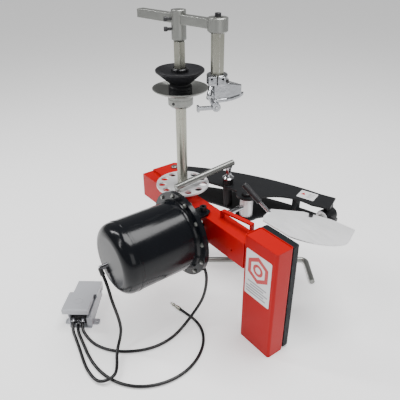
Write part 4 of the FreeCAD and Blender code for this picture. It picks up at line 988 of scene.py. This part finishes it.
def arm_label():
    """The arm's white sticker with a plain triangle and blank grey lines."""
    form = bmesh.new()
    slab(form, rounded_outline(-34, -28, 34, 28, 4), lambda u, v, d: on_arm_label(u, v, d))
    detail("arm_label", form, "label_white", "arm_upper_plate")
    form = bmesh.new()

    def raised(u, v, depth):
        return on_arm_label(u, v, depth, 0.25)

    slab(form, polygon_outline(-17, 2, 11, 3, 90), raised)
    detail("arm_label_sign", form, "label_red", "arm_upper_plate")
    form = bmesh.new()
    for row in range(4):
        slab(form, rounded_outline(0, 12 - row * 9, 26 - row * 3, 15 - row * 9, 1, 3), raised)
    detail("arm_label_lines", form, "label_grey", "arm_upper_plate")


def treadle_height(along):
    """The treadle's top above the floor, which rises towards its front."""
    return 65 + (along + 98) * 23 / 182


def treadle_mark():
    """A plain raised hexagon outline on the treadle's front part."""
    form = bmesh.new()

    def place(u, v, depth):
        x, y, z = on_pedal(u, v, treadle_height(u) - 0.3 + 1.0 * depth)
        return mm(x, y, z)

    ring_slab(form, polygon_outline(34, -12, 19, 6), polygon_outline(34, -12, 15.5, 6), place)
    detail("treadle_mark", form, "pedal_alloy", "pedal_treadle")


def valve_face():
    """The black valve body seen in the pedal's front opening."""
    form = bmesh.new()

    def place(u, v, depth):
        x, y, z = on_pedal(66.2 + 2.2 * depth, u, v)
        return mm(x, y, z)

    slab(form, rounded_outline(-34, 5.2, 23.5, 45, 2, 3), place)
    bevelled(form, 0.6)
    for across, height in PORT_PLACES:
        x, y, z = on_pedal(68.3, across, height + 3)
        x2, y2, z2 = on_pedal(71.5, across, height + 3)
        axis = (x2 - x, y2 - y, z2 - z)
        lathe([(0, 0), (10.2, 0), (10.2, 2.2), (9.4, 3), (0, 3)], (x, y, z), axis, 48, form)
    detail("valve_face", form, "black_plastic", "pedal_housing")


def port_collars():
    """The rings and release collars of the push-in fittings at the pedal."""
    form = bmesh.new()
    for index in range(3):
        ahead, end = into_port(index)
        axis = Vector(end) - Vector(ahead)
        axis.normalize()
        place = Vector(end) - axis * 5
        profile = [(5.6, 0), (7.0, 0), (8.3, 1.2), (8.3, 3.6), (7.6, 4.4), (7.6, 6), (5.6, 6)]
        lathe(profile, place, axis, 48, form)
    detail("port_collars", form, "chrome", "pedal_ports")


def rear_elbow_sleeve():
    """The black elbow that covers the rear hose's end, and its ferrule."""
    form = bmesh.new()
    start = Vector((102, BARREL_END - 13, BEAM_TOP - 100))
    end = Vector(REAR_ELBOW_END)
    axis = end - start
    length = axis.length
    profile = [(0, -3), (5, -2.4), (7.6, 0), (7.8, 3), (7.8, length - 3), (8.4, length - 2),
               (8.4, length + 3), (7.4, length + 4.5), (5.6, length + 4.5), (5.6, length), (0, length)]
    lathe(profile, start, axis, 48, form)
    detail("rear_elbow_sleeve", form, "black_plastic", "hose_elbows", sharp=50)


def stem_washer():
    """The bright thrust washer on the blade's stem, in front of the arm's sleeve."""
    form = lathe([(12.6, 0), (24, 0), (25, 1), (25, 4), (24, 5), (12.6, 5)],
                 (STEM_LINE, 346.5, STEM_HEIGHT), (0, 1, 0), 72)
    bevelled(form, 0.4)
    detail("stem_washer", form, "silver_plate", "blade_stem")


def small_parts():
    for make in (frame_welds, cylinder_welds, arm_welds, slide_welds, box_label, arm_label,
                 treadle_mark, valve_face, port_collars, rear_elbow_sleeve, stem_washer):
        make()


# ---------------------------------------------------------------- stage


def floor_plane():
    """The pale studio floor under the machine."""
    form = bmesh.new()
    bmesh.ops.create_grid(form, x_segments=8, y_segments=8, size=14.0)
    mesh = bpy.data.meshes.new("studio_floor")
    form.to_mesh(mesh)
    form.free()
    floor = bpy.data.objects.new("studio_floor", mesh)
    bpy.context.scene.collection.objects.link(floor)
    floor.location = (0, 0, FLOOR * MM - 0.0002)
    material = bpy.data.materials.new("studio_floor")
    material.use_nodes = True
    shader = material.node_tree.nodes["Principled BSDF"]
    shader.inputs["Base Color"].default_value = (0.9, 0.9, 0.9, 1.0)
    shader.inputs["Roughness"].default_value = 0.8
    shader.inputs["Emission Color"].default_value = (1.0, 1.0, 1.0, 1.0)
    shader.inputs["Emission Strength"].default_value = 0.5
    mesh.materials.append(material)


def area_light(name, place, target, size, power, size_y=None, color=(1, 1, 1)):
    light = bpy.data.lights.new(name, "AREA")
    light.energy = power
    light.size = size
    light.color = color
    if size_y:
        light.shape = "RECTANGLE"
        light.size_y = size_y
    lamp = bpy.data.objects.new(name, light)
    bpy.context.scene.collection.objects.link(lamp)
    lamp.location = place
    direction = Vector(target) - Vector(place)
    lamp.rotation_mode = "QUATERNION"
    lamp.rotation_quaternion = direction.to_track_quat("-Z", "Y")


def studio():
    world = bpy.data.worlds.new("studio")
    bpy.context.scene.world = world
    world.use_nodes = True
    background = world.node_tree.nodes["Background"]
    background.inputs["Color"].default_value = (1.0, 1.0, 1.0, 1.0)
    background.inputs["Strength"].default_value = 0.26
    area_light("key", (0.5, 0.6, 2.9), (0.1, 0, -0.1), 1.8, 130)
    area_light("strip_left", (-1.3, -1.3, 1.9), (0.1, -0.2, -0.1), 0.25, 40, 1.8)
    area_light("strip_top", (0.1, -1.9, 1.5), (0.1, -0.2, -0.2), 0.2, 14, 1.6)
    area_light("fill", (2.6, -0.6, 0.9), (0.2, 0, -0.2), 1.4, 12)


CAMERA_PLACE = (1.2881, -0.8864, 0.8345)
CAMERA_RIGHT = Vector((0.60221, 0.79833, -0.00383))
CAMERA_FORWARD = Vector((-0.69088, 0.51875, -0.50358))
CAMERA_LENS = 42.4


def camera():
    data = bpy.data.cameras.new("view")
    data.lens = CAMERA_LENS
    data.sensor_width = 36.0
    data.clip_start = 0.05
    data.clip_end = 60.0
    eye = bpy.data.objects.new("view", data)
    bpy.context.scene.collection.objects.link(eye)
    right = CAMERA_RIGHT.normalized()
    forward = (CAMERA_FORWARD - right * CAMERA_FORWARD.dot(right)).normalized()
    up = right.cross(forward)
    turn = Matrix((right, up, -forward)).transposed().to_4x4()
    eye.matrix_world = Matrix.Translation(CAMERA_PLACE) @ turn
    bpy.context.scene.camera = eye


# ---------------------------------------------------------------- the whole machine


def hoses():
    floor = FLOOR * MM
    rear_bend = ((0.16, -0.42, floor + 0.28), (0.16, -0.42, floor + 0.06))
    front_bend = ((0.26, -0.12, floor + 0.20), (0.26, -0.12, floor + 0.05))
    hose("rear_hose_line", "rear_hose", rear_hose_points(), bend=rear_bend)
    hose("front_hose_line", "front_hose", front_hose_points(), bend=front_bend)
    hose("supply_hose_line", "supply_hose", supply_hose_points())


def build():
    random.seed(7)
    made = {}
    for node, (width, material) in REFINED.items():
        made[node] = refined(node, width, material)
    blackened(made["pivot_bolts"], "dark_steel", 30)
    casting("mount_head", 1.3, 5, "cast_chrome")
    turned_pieces()
    small_parts()
    hoses()
    floor_plane()
    studio()
    camera()


build()
